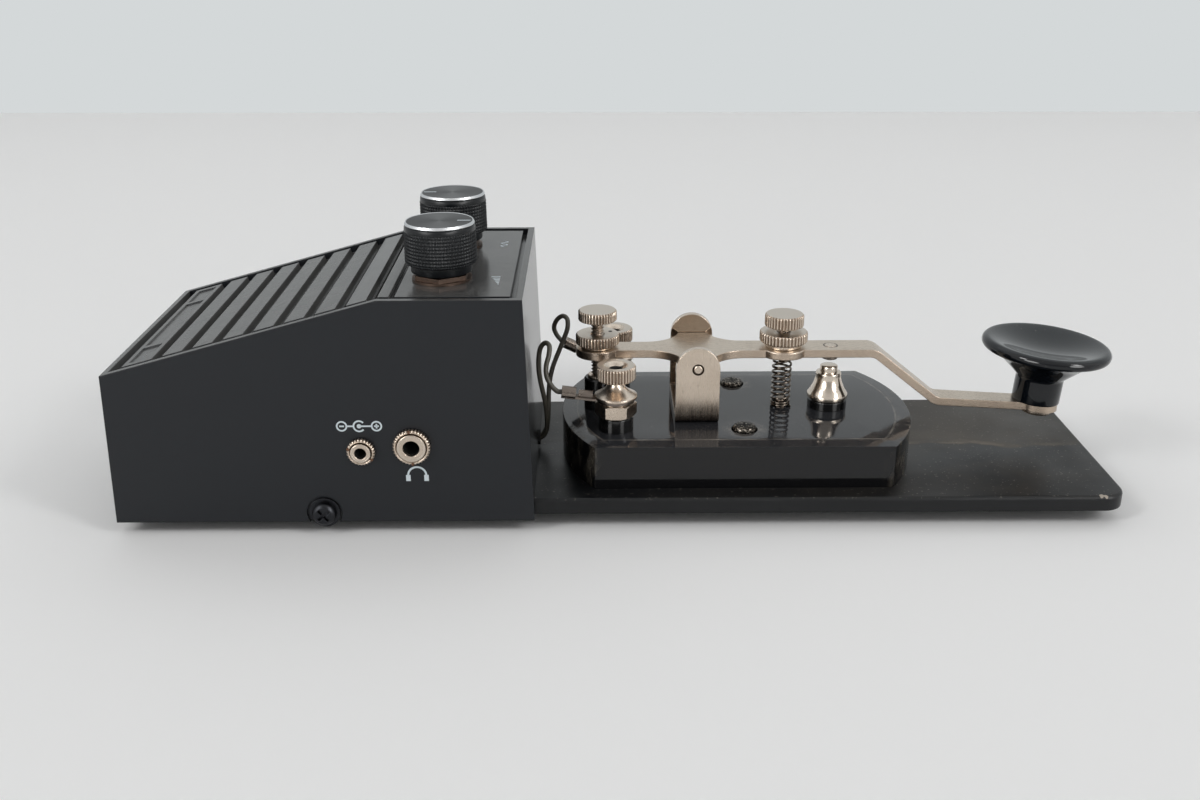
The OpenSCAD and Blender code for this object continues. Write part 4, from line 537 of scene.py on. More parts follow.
def turnedMesh(name, profile, origin, axis=(0, 0, 1), steps=96, teeth=0, depth=0.0, cross=0.0, crossPitch=0.72,
               thread=None):
    # A profile of (radius, height, knurl share) turned about an axis. The radius loses depth times the power 0.7 of
    # half a cosine of the tooth angle, and a thread of (pitch, depth) loses a triangle wave of height less turns.
    # An end on the axis is closed by a fan. The map "turned" has the angle along u and the profile's length along v.
    rows = profileRows(profile)
    angle = np.linspace(0, 2 * np.pi, steps, endpoint=False)
    live = rows[rows[:, 0] > onAxis]
    radius = np.repeat(live[:, :1], steps, 1)
    height = np.repeat(live[:, 1:2], steps, 1)
    share = live[:, 2:3]
    if teeth:
        radius -= depth * share * (0.5 - 0.5 * np.cos(teeth * angle))[None, :] ** 0.7
        radius -= cross * share * (0.5 - 0.5 * np.cos(2 * np.pi * height / crossPitch))
    if thread:
        wave = np.abs(((height / thread[0] - angle[None, :] / (2 * np.pi)) % 1.0) - 0.5) * 2
        radius -= thread[1] * share * np.clip(1.25 * wave - 0.1, 0, 1)
    local = np.stack([radius * np.cos(angle), radius * np.sin(angle), height], -1).reshape(-1, 3)
    faces = ringQuads(len(live), steps).tolist()
    ring = np.arange(steps)
    after = (ring + 1) % steps
    for end, start, pair in ((0, 0, (after, ring)), (-1, (len(live) - 1) * steps, (ring, after))):
        if rows[end, 0] <= onAxis:
            local = np.vstack([local, [0, 0, rows[end, 1]]])
            faces += np.stack([np.full(steps, len(local) - 1), start + pair[0], start + pair[1]], -1).tolist()
    z = np.array(axis, float) / np.linalg.norm(axis)
    x = np.cross((0, 1, 0) if abs(z[1]) < 0.9 else (1, 0, 0), z)
    x /= np.linalg.norm(x)
    mesh = drawnMesh(name, local @ np.stack([x, np.cross(z, x), z]) + np.array(origin), faces)
    corner = np.zeros(len(mesh.loops), np.int64)
    mesh.loops.foreach_get("vertex_index", corner)
    lengths = np.concatenate([[0], np.cumsum(np.hypot(*np.diff(live[:, :2], axis=0).T))])
    onRing = corner < len(live) * steps
    u = np.where(onRing, (corner % steps) / steps, 0.5)
    v = np.where(onRing, lengths[np.clip(corner // steps, 0, len(live) - 1)], lengths[-1] + rows[-2, 0])
    starts, totals = (np.zeros(len(mesh.polygons), np.int64) for _ in range(2))
    mesh.polygons.foreach_get("loop_start", starts)
    mesh.polygons.foreach_get("loop_total", totals)
    # a face that reaches over the seam has its first column at one, not at nought
    face = np.repeat(np.arange(len(starts)), totals)
    wraps = np.zeros(len(starts), bool)
    np.logical_or.at(wraps, face, onRing & (corner % steps == steps - 1))
    u = np.where(onRing & (corner % steps == 0) & wraps[face], 1.0, u)
    mesh.uv_layers.new(name="turned").data.foreach_set("uv", np.stack([u, v], -1).ravel())
    return mesh


def turned(name, profile, origin, finish, body, slot, axis=(0, 0, 1), sharp=35.0, replaces=(), bands=(), roots=0,
           **more):
    # A turned piece. bands lists (lowest v, highest v, finish index) for further finishes, and roots is the finish
    # index of the faces in the roots of the teeth, where the tooth angle's cosine is well under nought.
    mesh = turnedMesh(name, profile, origin, axis, **more)
    if bands or roots:
        corner = np.zeros(len(mesh.loops) * 2)
        mesh.uv_layers["turned"].data.foreach_get("uv", corner)
        v = corner[1::2]
        starts = np.zeros(len(mesh.polygons), np.int64)
        mesh.polygons.foreach_get("loop_start", starts)
        middle = (v[starts] + v[starts + 2]) / 2
        index = np.zeros(len(starts), np.int32)
        for low, high, number in bands:
            index[(middle >= low) & (middle <= high)] = number
        if roots:
            rows = profileRows(profile)
            rows = rows[rows[:, 0] > onAxis]
            shares = np.repeat((rows[:-1, 2] + rows[1:, 2]) / 2, more["steps"])
            phase = np.cos(more["teeth"] * 2 * np.pi * (np.arange(more["steps"]) + 0.5) / more["steps"])
            index[:len(shares)][(shares > 0.3) & (np.tile(phase, len(rows) - 1) < -0.3)] = roots
        mesh.polygons.foreach_set("material_index", index)
    return finishPiece(name, mesh, finish, body, sharp, replaces)


def smoothPath(points, perSpan=6):
    # a Catmull-Rom curve through the points, as an array
    p = np.array(points, float)
    p = np.vstack([2 * p[0] - p[1], p, 2 * p[-1] - p[-2]])
    t = np.linspace(0, 1, perSpan, endpoint=False)[None, :, None]
    a, b, c, d = (p[i:len(p) - 3 + i][:, None, :] for i in range(4))
    curve = 0.5 * (2 * b + (c - a) * t + (2 * a - 5 * b + 4 * c - d) * t ** 2 + (3 * b - a - 3 * c + d) * t ** 3)
    return np.vstack([curve.reshape(-1, 3), p[-2]])


def tubeMesh(name, path, radius, sides=12, reference=(0, 1, 0)):
    # a round tube along a path: each ring lies across the path, its sides counted from a fixed reference direction
    tangent = np.gradient(path, axis=0)
    tangent /= np.linalg.norm(tangent, axis=1, keepdims=True)
    side = np.cross(tangent, np.array(reference, float))
    side /= np.linalg.norm(side, axis=1, keepdims=True)
    other = np.cross(tangent, side)
    angle = np.linspace(0, 2 * np.pi, sides, endpoint=False)[None, :, None]
    rings = path[:, None, :] + radius * (side[:, None, :] * np.cos(angle) + other[:, None, :] * np.sin(angle))
    ends = [list(range(sides))[::-1], list(range((len(path) - 1) * sides, len(path) * sides))]
    return drawnMesh(name, rings.reshape(-1, 3), ringQuads(len(path), sides).tolist() + ends)


def makeCord(name, route, radius, sides, finish, replaced, reference=(0, 1, 0)):
    # a round wire along a route, riding on the stand in place of the node it stands for
    path = smoothPath(route)
    piece = finishPiece(name, tubeMesh(name, path, radius, sides, reference), finish, "stand", 60, (replaced,))


# The two leads from the box to the key

lugSettings = {"x": 101.5, "y": 12.7, "z": 20.95, "lift": 0.75}


def lugPoint(side, tilt, reach, s=lugSettings):
    # a point on a ring terminal's axis, at a reach from the ring's neck and lifted off it
    a = math.radians(tilt)
    return [s["x"] - reach * math.cos(a) + s["lift"] * math.sin(a), side * s["y"],
            s["z"] + reach * math.sin(a) + s["lift"] * math.cos(a)]


wireRadius = 0.55
wireRoutes = {
    "farWire": [
        lugPoint(1, 26.68, 7.914), lugPoint(1, 26.68, 8.914), [92.7, 12.9, 27.1], [92.2, 12.7, 28.9],
        [92.9, 12.1, 30.9], [94.3, 11.1, 32.2], [95.4, 9.8, 31.8], [95.4, 8.8, 29.8], [94.4, 8, 27.2],
        [93.3, 7.2, 24.6], [92.2, 6.4, 22], [91.4, 5.6, 19.2], [91, 4.7, 16.2], [90.9, 3.7, 13.2], [90.8, 2.6, 10.4],
        [90.5, 1.6, 8.2], [89.7, 0.8, 6.8], [88.6, 0.58, 6.3], [86.4, 0.58, 6.3], [84.2, 0.6, 6.4], [82.6, 0.8, 7.1],
        [82, 1, 8.2], [82, 1, 9]],
    "nearWire": [
        lugPoint(-1, 7.19, 7.2), lugPoint(-1, 7.19, 8.2), [92.2, -12.3, 23.9], [91.2, -11.7, 25.8], [91.1, -11.1, 28],
        [91.7, -10.2, 30.2], [91.8, -9, 31.9], [90.9, -7.8, 32.2], [89.8, -6.9, 30.8], [89.3, -6.2, 28.2],
        [89.2, -5.6, 25.2], [89.5, -5, 22.2], [90, -4.4, 19.2], [90.5, -3.7, 16], [90.7, -3, 12.8], [90.7, -2.2, 10],
        [90.3, -1.4, 8], [89.6, -0.8, 6.8], [88.6, -0.58, 6.3], [86.4, -0.58, 6.3], [84.2, -0.8, 6.4],
        [82.6, -1.4, 7.1], [82, -1.8, 8.2], [82, -1.8, 9]],
}
for name, route in wireRoutes.items():
    makeCord(name, route, wireRadius, 12, "pvc", "key_wires")
print("leads laid")


# Knurled screws and nuts of the key

knurlSettings = {"depth": 0.28, "stepsPerTooth": 8}
screwSettings = {"radius": 1.47, "pitch": 0.8, "depth": 0.38}  # pitch drawn coarse enough to show
lockNutSettings = {"low": 28.65, "rim": 2.4, "bore": 1.5, "boreFoot": 30.0, "teeth": 40}
thumbNutSettings = {"x": 106.3, "z": 21.25, "foot": 4.7, "waist": 1.7, "head": 4.4, "teeth": 37}


def knurledRim(radius, low, high, chamfer=0.28, foot=0.28):
    # profile rows of a knurled rim between two chamfers, with the teeth cut through the chamfers too
    return [(radius - foot - 0.06, low, 0), (radius - foot, low + 0.02, 0.5), (radius - 0.05, low + foot - 0.01, 1),
            (radius, low + foot, 1), (radius, (low + high) / 2, 1), (radius, high - chamfer, 1),
            (radius - 0.05, high - chamfer + 0.04, 1), (radius - chamfer, high - 0.02, 0.6),
            (radius - chamfer - 0.06, high, 0)]


def knurledPiece(name, profile, x, y, body, node, teeth, bands, extra=()):
    # a turned piece of the key whose rim has straight teeth, with faced ends and dull roots between the teeth
    turned(name, profile, (x, y, 0), ["nickel", "nickelFace", "nickelRoot", *extra], body, "nickel",
           steps=teeth * knurlSettings["stepsPerTooth"], teeth=teeth, depth=knurlSettings["depth"], replaces=(node,),
           bands=bands, roots=2, sharp=40)


def threadRows(low, high, radius, pitch):
    # rows close enough together to draw a thread
    count = int((high - low) / (pitch / 8)) + 1
    return [(radius, float(z), 1.0) for z in np.linspace(low, high, count)]


def adjustingScrew(name, x, tip, headLow, headHigh, headRadius, body, node, teeth, pin=None, chamfer=0.28):
    # Threaded shank with a knurled head. Head and shank are one piece in two meshes.
    t = screwSettings
    rim = knurledRim(headRadius, headLow, headHigh, chamfer, 0.12)
    head = [(0, headLow), (1.2, headLow)] + rim + \
        [(headRadius * 0.6, headHigh + 0.02), (0.6, headHigh + 0.03), (0, headHigh + 0.03)]
    top = reachAlong(head[1:])[-4]
    knurledPiece(name, head, x, 0, body, node, teeth, [(top - 0.05, top + 20, 1)])
    end = [(0, tip), (t["radius"] - 0.45, tip)] if not pin else \
        [(0, pin[1]), (pin[0] - 0.15, pin[1]), (pin[0], pin[1] + 0.15), (pin[0], tip), (t["radius"] - 0.3, tip)]
    shank = end + threadRows(tip + 0.35, headLow + 0.05, t["radius"], t["pitch"]) + [(0, headLow + 0.05)]
    # the shank takes the darker nickel, painted shade under the head
    turned(name + "Thread", shank, (x, 0, 0), "nickelShaded", body, "nickel", steps=32,
           thread=(t["pitch"], t["depth"]), sharp=50)


def lockNut(name, x, radius, hub, knurlLow, body, node, s=lockNutSettings):
    # hub below, knurled rim above, and a bore with a small countersink
    low, high, bore = s["low"], knurlLow + s["rim"], s["bore"]
    profile = [(bore, low + 0.1), (bore + 0.1, low), (hub - 0.12, low), (hub, low + 0.12), (hub, knurlLow)] + \
        knurledRim(radius, knurlLow, high) + \
        [(radius * 0.7, high + 0.01), (2.0, high), (1.62, high - 0.15), (bore, high - 0.4), (bore, s["boreFoot"]),
         (bore, low + 0.1)]
    lengths = reachAlong(profile)
    knurledPiece(name, profile, x, 0, body, node, s["teeth"], [(lengths[12] - 0.03, lengths[15], 1)])


def thumbNut(name, y, body, node, s=thumbNutSettings):
    # clamping flange, waisted neck and knurled head with a countersunk hole for a plug
    z, foot, waist, head = s["z"], s["foot"], s["waist"], s["head"]
    neck = [(waist + 2.7 * (1 - k) ** 2.2, z + 0.85 + 2.9 * k) for k in np.linspace(0, 1, 14)]
    hole = [(2.45, z + 7.42), (1.45, z + 6.75), (1.3, z + 6.5), (1.25, z + 5.0), (0, z + 5.0)]
    profile = [(1.5, z), (foot - 0.25, z), (foot - 0.04, z + 0.12), (foot, z + 0.35), (foot - 0.02, z + 0.68)] + \
        neck + [(waist, z + 4.0), (2.0, z + 4.28)] + knurledRim(head, z + 4.35, z + 7.5, 0.3) + [(2.75, z + 7.5)] + hole
    lengths = reachAlong(profile)
    top = lengths[-7]
    knurledPiece(name, profile, s["x"], y, body, node, s["teeth"],
                 [(top - 0.05, top + 1.3, 1), (lengths[-4] + 0.1, lengths[-1] + 1, 3)], ("hole",))


adjustingScrew("contactScrew", 102.4, 22.05, 35.0, 37.3, 4.33, "contact_adjuster", "contact_screw", 37)
adjustingScrew("springScrew", 144.45, 26.4, 33.45, 36.2, 4.38, "spring_adjuster", "spring_screw", 36, (0.85, 24.8), 0.3)
lockNut("contactLockNut", 102.4, 4.92, 3.7, 29.35, "contact_lock", "contact_lock_nut")
lockNut("springLockNut", 144.45, 5.4, 4.1, 29.75, "spring_lock", "spring_lock_nut")
# blind hole for a pin wrench in the lock nut's top, and the round boss of the lever below the spring screw
turned("lockNutHole", [(0, 31.6), (0.45, 31.6), (0.45, 31.775), (0.36, 31.78), (0, 31.76)], (105.3, 1.2, 0), "hole",
       "contact_lock", "nickel", steps=24)
boss = [(1.6, 26.79), (5.3, 26.79), (5.5, 26.95), (5.5, 28.44), (5.3, 28.615), (1.6, 28.615), (1.6, 26.79)]
turned("springBoss", boss, (144.45, 0, 0), "nickelLever", "key_lever", "nickel")
thumbNut("nearThumbNut", -12.7, "near_terminal", "near_thumb_nut")
thumbNut("farThumbNut", 12.7, "far_terminal", "far_thumb_nut")
print("knurled pieces turned")


# Spring, contacts and finger knob

springSettings = {"x": 144.45, "low": 14.28, "high": 26.12, "turns": 10.5, "closed": 2.0, "radius": 2.05,
                  "topRadius": 1.2, "wire": 0.26, "tail": 1.4, "seat": 14, "keep": 0.929}
anvilSettings = {"x": 155.2, "low": 16.2, "height": 7.8, "foot": 4.6, "waist": 2.85, "neck": 2.0}
baseScrewSettings = {"x": 134.7, "y": (-13.9, 13.9), "cross": ((1.3, 0.24), (0.24, 1.3))}
knobSettings = {"x": 203.3, "z": 14.2775, "radius": 14.2, "height": 14.3, "neck": 5.3, "roll": 1.25, "tilt": 4.0}


def coilSpring(s):
    # helix with closed turns at the foot, whose last turn closes in to the screw's tip, and a straight tail at the foot
    k = np.linspace(0, s["turns"], int(s["turns"] * 36) + 1)
    radius = s["radius"] - (s["radius"] - s["topRadius"]) * np.clip((k - s["turns"] + 1.2) / 1.2, 0, 1)
    bound = 2.15 * s["wire"]
    pitch = (s["high"] - s["low"] - bound * s["closed"]) / (s["turns"] - s["closed"])
    rise = s["low"] + bound * np.minimum(k, s["closed"]) + pitch * np.maximum(k - s["closed"], 0)
    coil = np.stack([radius * np.cos(2 * np.pi * k), radius * np.sin(2 * np.pi * k), rise], -1)
    tail = np.array([[s["radius"], -s["tail"] * t, s["low"]] for t in (1, 0.75, 0.5, 0.25)])
    mesh = tubeMesh("coilSpring", np.vstack([tail, coil]) + np.array([s["x"], 0, 0]), s["wire"], 14, (0, 0, 1))
    piece = finishPiece("coilSpring", mesh, "spring", "stand", 60, ("lever_spring",))
    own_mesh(piece)


def bellAnvil(s):
    # bell-shaped contact: flange, concave flare, shoulder and a small crowned neck
    foot, waist, neck, top = s["foot"], s["waist"], s["neck"], s["height"]
    shoulder = top - 1.7
    flare = [(waist + 1.6 * (1 - k) ** 1.9, 1.15 + (shoulder - 1.6) * k) for k in np.linspace(0.04, 1, 16)]
    profile = [(0, 0), (foot - 0.15, 0), (foot - 0.02, 0.12), (foot, 0.3), (foot, 0.85), (foot - 0.04, 1.02),
               (foot - 0.15, 1.12)] + flare + \
        [(waist, shoulder - 0.16), (waist - 0.05, shoulder - 0.05), (waist - 0.17, shoulder), (neck, shoulder),
         (neck, shoulder + 0.2), (neck, top - 0.35), (neck - 0.07, top - 0.2), (neck - 0.25, top - 0.11),
         (0.8, top - 0.06), (0, top - 0.04)]
    turned("bellAnvil", profile, (s["x"], 0, s["low"]), "nickelBright", "stand", "nickel", replaces=("front_anvil",),
           sharp=32)


def baseScrewDomes(s):
    # raised heads of the base's two screws: a low crown with a cross, whose arms are dark bars in its flat top
    crown = [(0, 13.9), (2.5, 13.9), (2.62, 14.1), (2.6, 14.4), (2.3, 14.85), (1.7, 15.05), (0, 15.1)]
    for number, y in enumerate(s["y"], 1):
        turned("baseScrewDome%d" % number, crown, (s["x"], y, 0), "screwSteel", "stand", "blackened_steel", steps=48)
        bars = [[s["x"] + u, y + v, z] for arm in s["cross"] for z in (14.8, 15.11) for u, v in cornersOf(*arm)]
        finishPiece("baseScrewCross%d" % number, barMesh("baseScrewCross", bars), "hole", "stand",
                    20)


def between(first, last, share):
    # the point at a share of the way from one point of a profile to another
    return first[0] + (last[0] - first[0]) * share, first[1] + (last[1] - first[1]) * share


def fingerKnob(s):
    # skirted knob: short neck, flared cone, rolled rim and a shallow dish for the finger
    n, r, h, roll = s["neck"], s["radius"], s["height"], s["roll"]
    flare = [(n + 1.2 - 1.2 * math.cos(a), 5.4 + 1.2 * math.sin(a)) for a in np.radians(np.linspace(0, 45, 7))]
    rim = [(r - roll + roll * math.cos(a), h - 0.2 - roll + roll * math.sin(a))
           for a in np.radians(np.linspace(-50, 90, 18))]
    dish = [((r - roll - 0.2) * (1 - k), h - 0.2 - 2.2 * math.sin(math.radians(90 * k)) ** 1.15)
            for k in np.linspace(0.02, 0.98, 24)]
    cone = [between(flare[-1], (r - 4, h - 3.9), k) for k in (0.33, 0.66, 1)]
    outer = [between(cone[-1], rim[0], k) for k in (0.33, 0.66)]
    profile = [(0, 0), (n - 0.3, 0), (n - 0.06, 0.08), (n, 0.3), (n, 3.0)] + flare + cone + outer + rim + dish + \
        [(0, h - 2.4)]
    tilt = math.radians(s["tilt"])
    axis = (math.sin(tilt), 0, math.cos(tilt))
    origin = (s["x"] + 0.9 * axis[0], 0, s["z"] + 0.9 * axis[2])
    turned("fingerKnob", profile, origin, "gloss", "key_lever", "gloss_black", axis=axis, steps=128,
           replaces=("finger_knob",), sharp=60)


coilSpring(springSettings)
bellAnvil(anvilSettings)
baseScrewDomes(baseScrewSettings)
fingerKnob(knobSettings)
print("key pieces made")


# Control knobs, their caps and pointers

controlSettings = {"x": 69.7, "low": 50.5, "high": 60.6, "radius": 7.6, "teeth": 72, "top": 61.2}


def controlKnob(prefix, y, pointer, s):
    # a cross-cut grip on a plain skirt, under a dark face in a bright ring, with a pointer towards the key where its
    # sign is plus and away from it where it is minus
    body = prefix + "_control"
    low, high, r, top = s["low"], s["high"], s["radius"], s["top"]
    skirt, shoulder = low + 1.9, high - 1.35
    grip = [(r - 0.1 * min(1, max(0, (z - skirt) / 7)), float(z), 1.0) for z in np.arange(skirt + 0.35, shoulder, 0.09)]
    profile = [(0, low), (r - 1.5, low), (r - 1.26, low + 0.08), (r - 1.2, low + 0.25), (r - 1.2, skirt),
               (r - 0.45, skirt + 0.02), (r - 0.25, skirt + 0.1)] + grip + \
        [(r - 0.22, shoulder + 0.05), (r - 0.2, shoulder + 0.3), (r - 0.24, high - 0.5), (r - 0.34, high - 0.2),
         (r - 0.55, high), (0, high)]
    turned(prefix + "Knob", profile, (s["x"], y, 0), "knob", body, "knob_plastic", steps=s["teeth"] * 6,
           teeth=s["teeth"], depth=0.16, cross=0.06, replaces=(prefix + "_knob",), sharp=45)
    face = top - 0.09
    cap = [(0, high), (r - 0.5, high), (r - 0.34, high + 0.04), (r - 0.32, high + 0.14), (r - 0.56, top - 0.02),
           (r - 0.64, top), (r - 0.7, top - 0.05), (r - 0.76, face)] + \
        [(float(q), face) for q in np.linspace(r - 1.6, 0.4, 6)] + [(0, face)]
    turned(prefix + "Cap", cap, (s["x"], y, 0), ["capRing", "capFace"], body, "knob_trim", steps=128,
           replaces=(prefix + "_knob_cap",), sharp=30, bands=[(reachAlong(cap[1:])[5] - 0.01, 99, 1)])
    bar = [[s["x"] + pointer * (5.1 + u), y + pointer * v, z]
           for z in (top - 0.1, top - 0.06) for u, v in cornersOf(1.4, 0.22)]
    finishPiece(prefix + "Pointer", barMesh(prefix + "Pointer", bar), "print", body, 20)


controlKnob("volume", -13.4, 1, controlSettings)
controlKnob("tone", 13.4, -1, controlSettings)
print("control knobs made")


# Sockets: bushing with an open bore, and a knurled ring nut

wallLean = 0.011  # the long walls lean in by this share of the height
socketSettings = {
    "earphone": {"x": 63.7, "z": 17.5, "bore": 1.75, "bush": 3.0, "proud": 1.78, "nut": 3.95, "height": 1.5,
                 "slots": (96, -88)},
    "power": {"x": 53.1, "z": 16.4, "bore": 1.25, "bush": 2.1, "proud": 1.65, "nut": 3.0, "height": 1.35,
              "slots": (162, -35)},
}


def wallAt(x, z):
    # a point on the near wall
    return x, -(30 - wallLean * z), z


def socket(prefix, s):
    # turned about an axis that points out of the near wall; the jack's own box stays with the CAD node
    place, out = wallAt(s["x"], s["z"]), (0, -1, 0)
    bore, bush, proud, nut, height = (s[key] for key in ("bore", "bush", "proud", "nut", "height"))
    teeth = int(nut * 9)
    ringNut = [(bush + 0.16, 0.0)] + knurledRim(nut, 0.0, height, 0.3) + \
        [(bush + 0.36, height + 0.01), (bush + 0.2, height - 0.12), (bush + 0.16, height - 0.4), (bush + 0.16, 0.0)]
    turned(prefix + "Nut", ringNut, place, ["nickel", "nickel", "nickelRoot"], "stand", "nickel", axis=out,
           steps=teeth * 8, teeth=teeth, depth=0.22, replaces=(prefix + "_nut",), roots=2, sharp=40)
    # flared lip, from its outside over the top and down the bore, whose wall is dark
    flare = (bush - bore) * 0.62
    lip = [(bush + 0.005, height - 0.9), (bush + 0.005, proud - 0.3), (bush - 0.02, proud - 0.1),
           (bush - 0.16, proud + 0.005), (bore + flare, proud), (bore + flare * 0.75, proud - 0.12),
           (bore + flare * 0.3, proud - 0.5), (bore - 0.03, proud - 0.8), (bore - 0.03, -7.0)]
    turned(prefix + "Lip", lip, place, ["nickelBright", "hole"], "stand", "nickel", axis=out, steps=64, sharp=40,
           bands=[(reachAlong(lip)[-2] + 0.1, 99, 1)])
    # two slots across the ring nut's face, for a pin wrench, drawn as bars in painted shade
    middle = (nut + bush + 0.2) / 2
    for number, degrees in enumerate(s["slots"], 1):
        c, d = math.cos(math.radians(degrees)), math.sin(math.radians(degrees))
        flat = [((middle + u) * c - v * d, (middle + u) * d + v * c) for u, v in cornersOf(0.32, 0.26)]
        bar = [[place[0] + u, place[1] - lift, place[2] + v]
               for lift in (height - 0.3, height + 0.025) for u, v in flat]
        finishPiece("%sSlot%d" % (prefix, number), barMesh(prefix + "Slot", bar), "slotShade", "stand", 20)


for prefix, settings in socketSettings.items():
    socket(prefix, settings)
print("sockets made")


# Printed marks: plain pictograms in pale ink

markSettings = {"line": 0.42, "fine": 0.34, "low": 0.01, "high": 0.04}


def inkStroke(points, width, origin, across, up, out):
    # a flat ribbon of ink along 2D points, 0.03 mm thick, as rings of four points and their faces
    p = np.array(points, float)
    direction = np.gradient(p, axis=0)
    direction /= np.linalg.norm(direction, axis=1, keepdims=True)
    normal = np.stack([-direction[:, 1], direction[:, 0]], -1)
    flat = np.stack([p + normal * width / 2, p - normal * width / 2], 1)
    origin, across, up, out = (np.array(v, float) for v in (origin, across, up, out))
    left, right = np.moveaxis(origin + flat[..., :1] * across + flat[..., 1:] * up, 1, 0)
    low, high = markSettings["low"] * out, markSettings["high"] * out
    rings = np.stack([left + high, left + low, right + low, right + high], 1).reshape(-1, 3)
    last = len(rings) - 1
    return rings, ringQuads(len(p), 4)[:, ::-1].tolist() + [[0, 1, 2, 3], [last, last - 1, last - 2, last - 3]]


def arcPoints(cx, cy, radius, start, stop, count=24):
    # points on an arc from a start to a stop angle
    a = np.radians(np.linspace(start, stop, count))
    return np.stack([cx + radius * np.cos(a), cy + radius * np.sin(a)], -1)


def printMark(name, strokes, origin, across, up, out):
    # joins the strokes of one mark into one piece
    points, faces = [], []
    for stroke, width in strokes:
        rings, quads = inkStroke(stroke, width, origin, across, up, out)
        faces += [[v + len(points) for v in face] for face in quads]
        points += rings.tolist()
    finishPiece(name, drawnMesh(name, points, faces), "print", "stand", 20)


line, fine = markSettings["line"], markSettings["fine"]
onWall = ((1, 0, 0), (0, wallLean, 1), (0, -1, 0))
onPanel = ((0, 1, 0), (-1, 0, 0), (0, 0, 1))  # read from the key's side
# polarity mark of a socket: minus, centre pin in its shell, plus
polarity = [(arcPoints(-3.6, 0, 1.0, 0, 360), fine), ([[-4.1, 0], [-3.1, 0]], fine), ([[-2.6, 0], [-1.3, 0]], fine),
            (arcPoints(0, 0, 1.15, 40, 320), fine), (arcPoints(0, 0, 0.25, 0, 360), 0.45), ([[0.2, 0], [2.6, 0]], fine),
            (arcPoints(3.6, 0, 1.0, 0, 360), fine), ([[3.1, 0], [4.1, 0]], fine), ([[3.6, -0.5], [3.6, 0.5]], fine)]
headphones = [(arcPoints(0, -0.2, 1.9, 0, 180), line), ([[-1.9, -0.1], [-1.9, -1.5]], 0.95),
              ([[1.9, -0.1], [1.9, -1.5]], 0.95)]
risingBars = [([[i * 1.05 - 2.6, -0.9], [i * 1.05 - 2.6, -0.6 + 0.32 * i]], 0.5) for i in range(6)]
wave = np.stack([np.linspace(-2.4, 2.4, 49), 0.7 * np.sin(np.linspace(0, 4 * np.pi, 49))], -1)
printMark("powerMark", polarity, wallAt(53.0, 21.9), *onWall)
printMark("earphoneMark", headphones, wallAt(64.4, 10.9), *onWall)
printMark("volumeMark", risingBars, (81.0, -15.2, 48.68), *onPanel)
printMark("toneMark", [(wave, 0.36)], (81.0, 14.2, 48.68), *onPanel)
print("marks printed")


# CAD forms whose curved faces are shaded smooth

def refined(nodeName, name, sharp=30.0):
    # a copy of a node with its doubles merged and its curved faces shaded smooth, in the node's place
    source = nodes[nodeName]
    mesh = source.data.copy()
    mesh.materials.clear()
    work = bmesh.new()
    work.from_mesh(mesh)
    bmesh.ops.remove_doubles(work, verts=work.verts, dist=2e-6)
    work.to_mesh(mesh)
    work.free()
    for layer in [item for item in mesh.attributes if item.name == "custom_normal"]:
        mesh.attributes.remove(layer)
    finishPiece(name, mesh, nodeFinish[nodeName], source["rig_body"], sharp, (nodeName,))


for nodeName, name in {
    "lever": "leverBody", "trunnion": "trunnionBracket", "key_base": "keyBaseBody", "base_plate": "plateBody",
    "case_shell": "caseBody", "pedestals": "blackBushes", "rear_pedestal": "rearBush",
    "upper_contact": "upperContactRivet", "binding_nuts": "hexNuts", "ring_lugs": "ringTerminals",
    "pot_nuts": "controlNuts", "key_base_screws": "baseScrewHeads", "case_screws": "caseScrewHeads",
    "case_washers": "caseWasherPair", "spring_seat": "springCup", "rear_contact": "rearContactDisc",
    "pivot_pin": "pinEnds", "finger_knob_screw": "knobScrewHead", "rubber_feet": "feetSet",
    "trunnion_screws": "trunnionScrewPair",
}.items():
    refined(nodeName, name)
print("CAD forms refined")


# Inside of the case. Places on the slope: s along it from its foot, y across, z out of it.

slopeSettings = {"x": 0.993, "z": 33.1, "rise": 48.8 - 33.1, "run": 58.1 - 0.03 * 33.1}
clothSettings = {"middle": 34.755, "low": 24.5, "high": 23.5, "half": 24.5, "rows": 60, "columns": 40,
                 "faces": (-3.24, -3.56), "sag": 0.03}


def slopePoint(s, y, z):
    # a place on the slope, as a point of the drawing
    a = math.atan2(slopeSettings["rise"], slopeSettings["run"])
    return [slopeSettings["x"] + s * math.cos(a) - z * math.sin(a), y,
            slopeSettings["z"] + s * math.sin(a) + z * math.cos(a)]


def grilleCloth(c):
    # two close grids, one per face, joined at the rim: the threads draw it in by a few hundredths between the slots
    rows, columns = c["rows"], c["columns"]
    s = np.linspace(c["middle"] - c["low"], c["middle"] + c["high"], rows)
    y = np.linspace(-c["half"], c["half"], columns)
    grid, across = np.meshgrid(s, y, indexing="ij")
    sag = c["sag"] * np.sin((grid - s[0]) / (s[-1] - s[0]) * np.pi * 8) * np.cos(across / (2 * c["half"]) * np.pi)
    layers = [np.stack(slopePoint(grid, across, lift + sag), -1).reshape(-1, 3) for lift in c["faces"]]
    top = ringQuads(rows, columns, False)
    count = rows * columns
    index = np.arange(count).reshape(rows, columns)
    rim = np.concatenate([index[:-1, 0], index[-1, :-1], index[:0:-1, -1], index[0, :0:-1]])
    after = np.roll(rim, -1)
    side = np.stack([rim, after, after + count, rim + count], -1)
    mesh = drawnMesh("grilleCloth", np.vstack(layers), np.vstack([top[:, ::-1], top + count, side]).tolist())
    work = bmesh.new()
    work.from_mesh(mesh)
    bmesh.ops.recalc_face_normals(work, faces=work.faces)
    work.to_mesh(mesh)
    work.free()
    piece = finishPiece("grilleCloth", mesh, "cloth", "stand", 40, ("grille_cloth",))


grilleCloth(clothSettings)

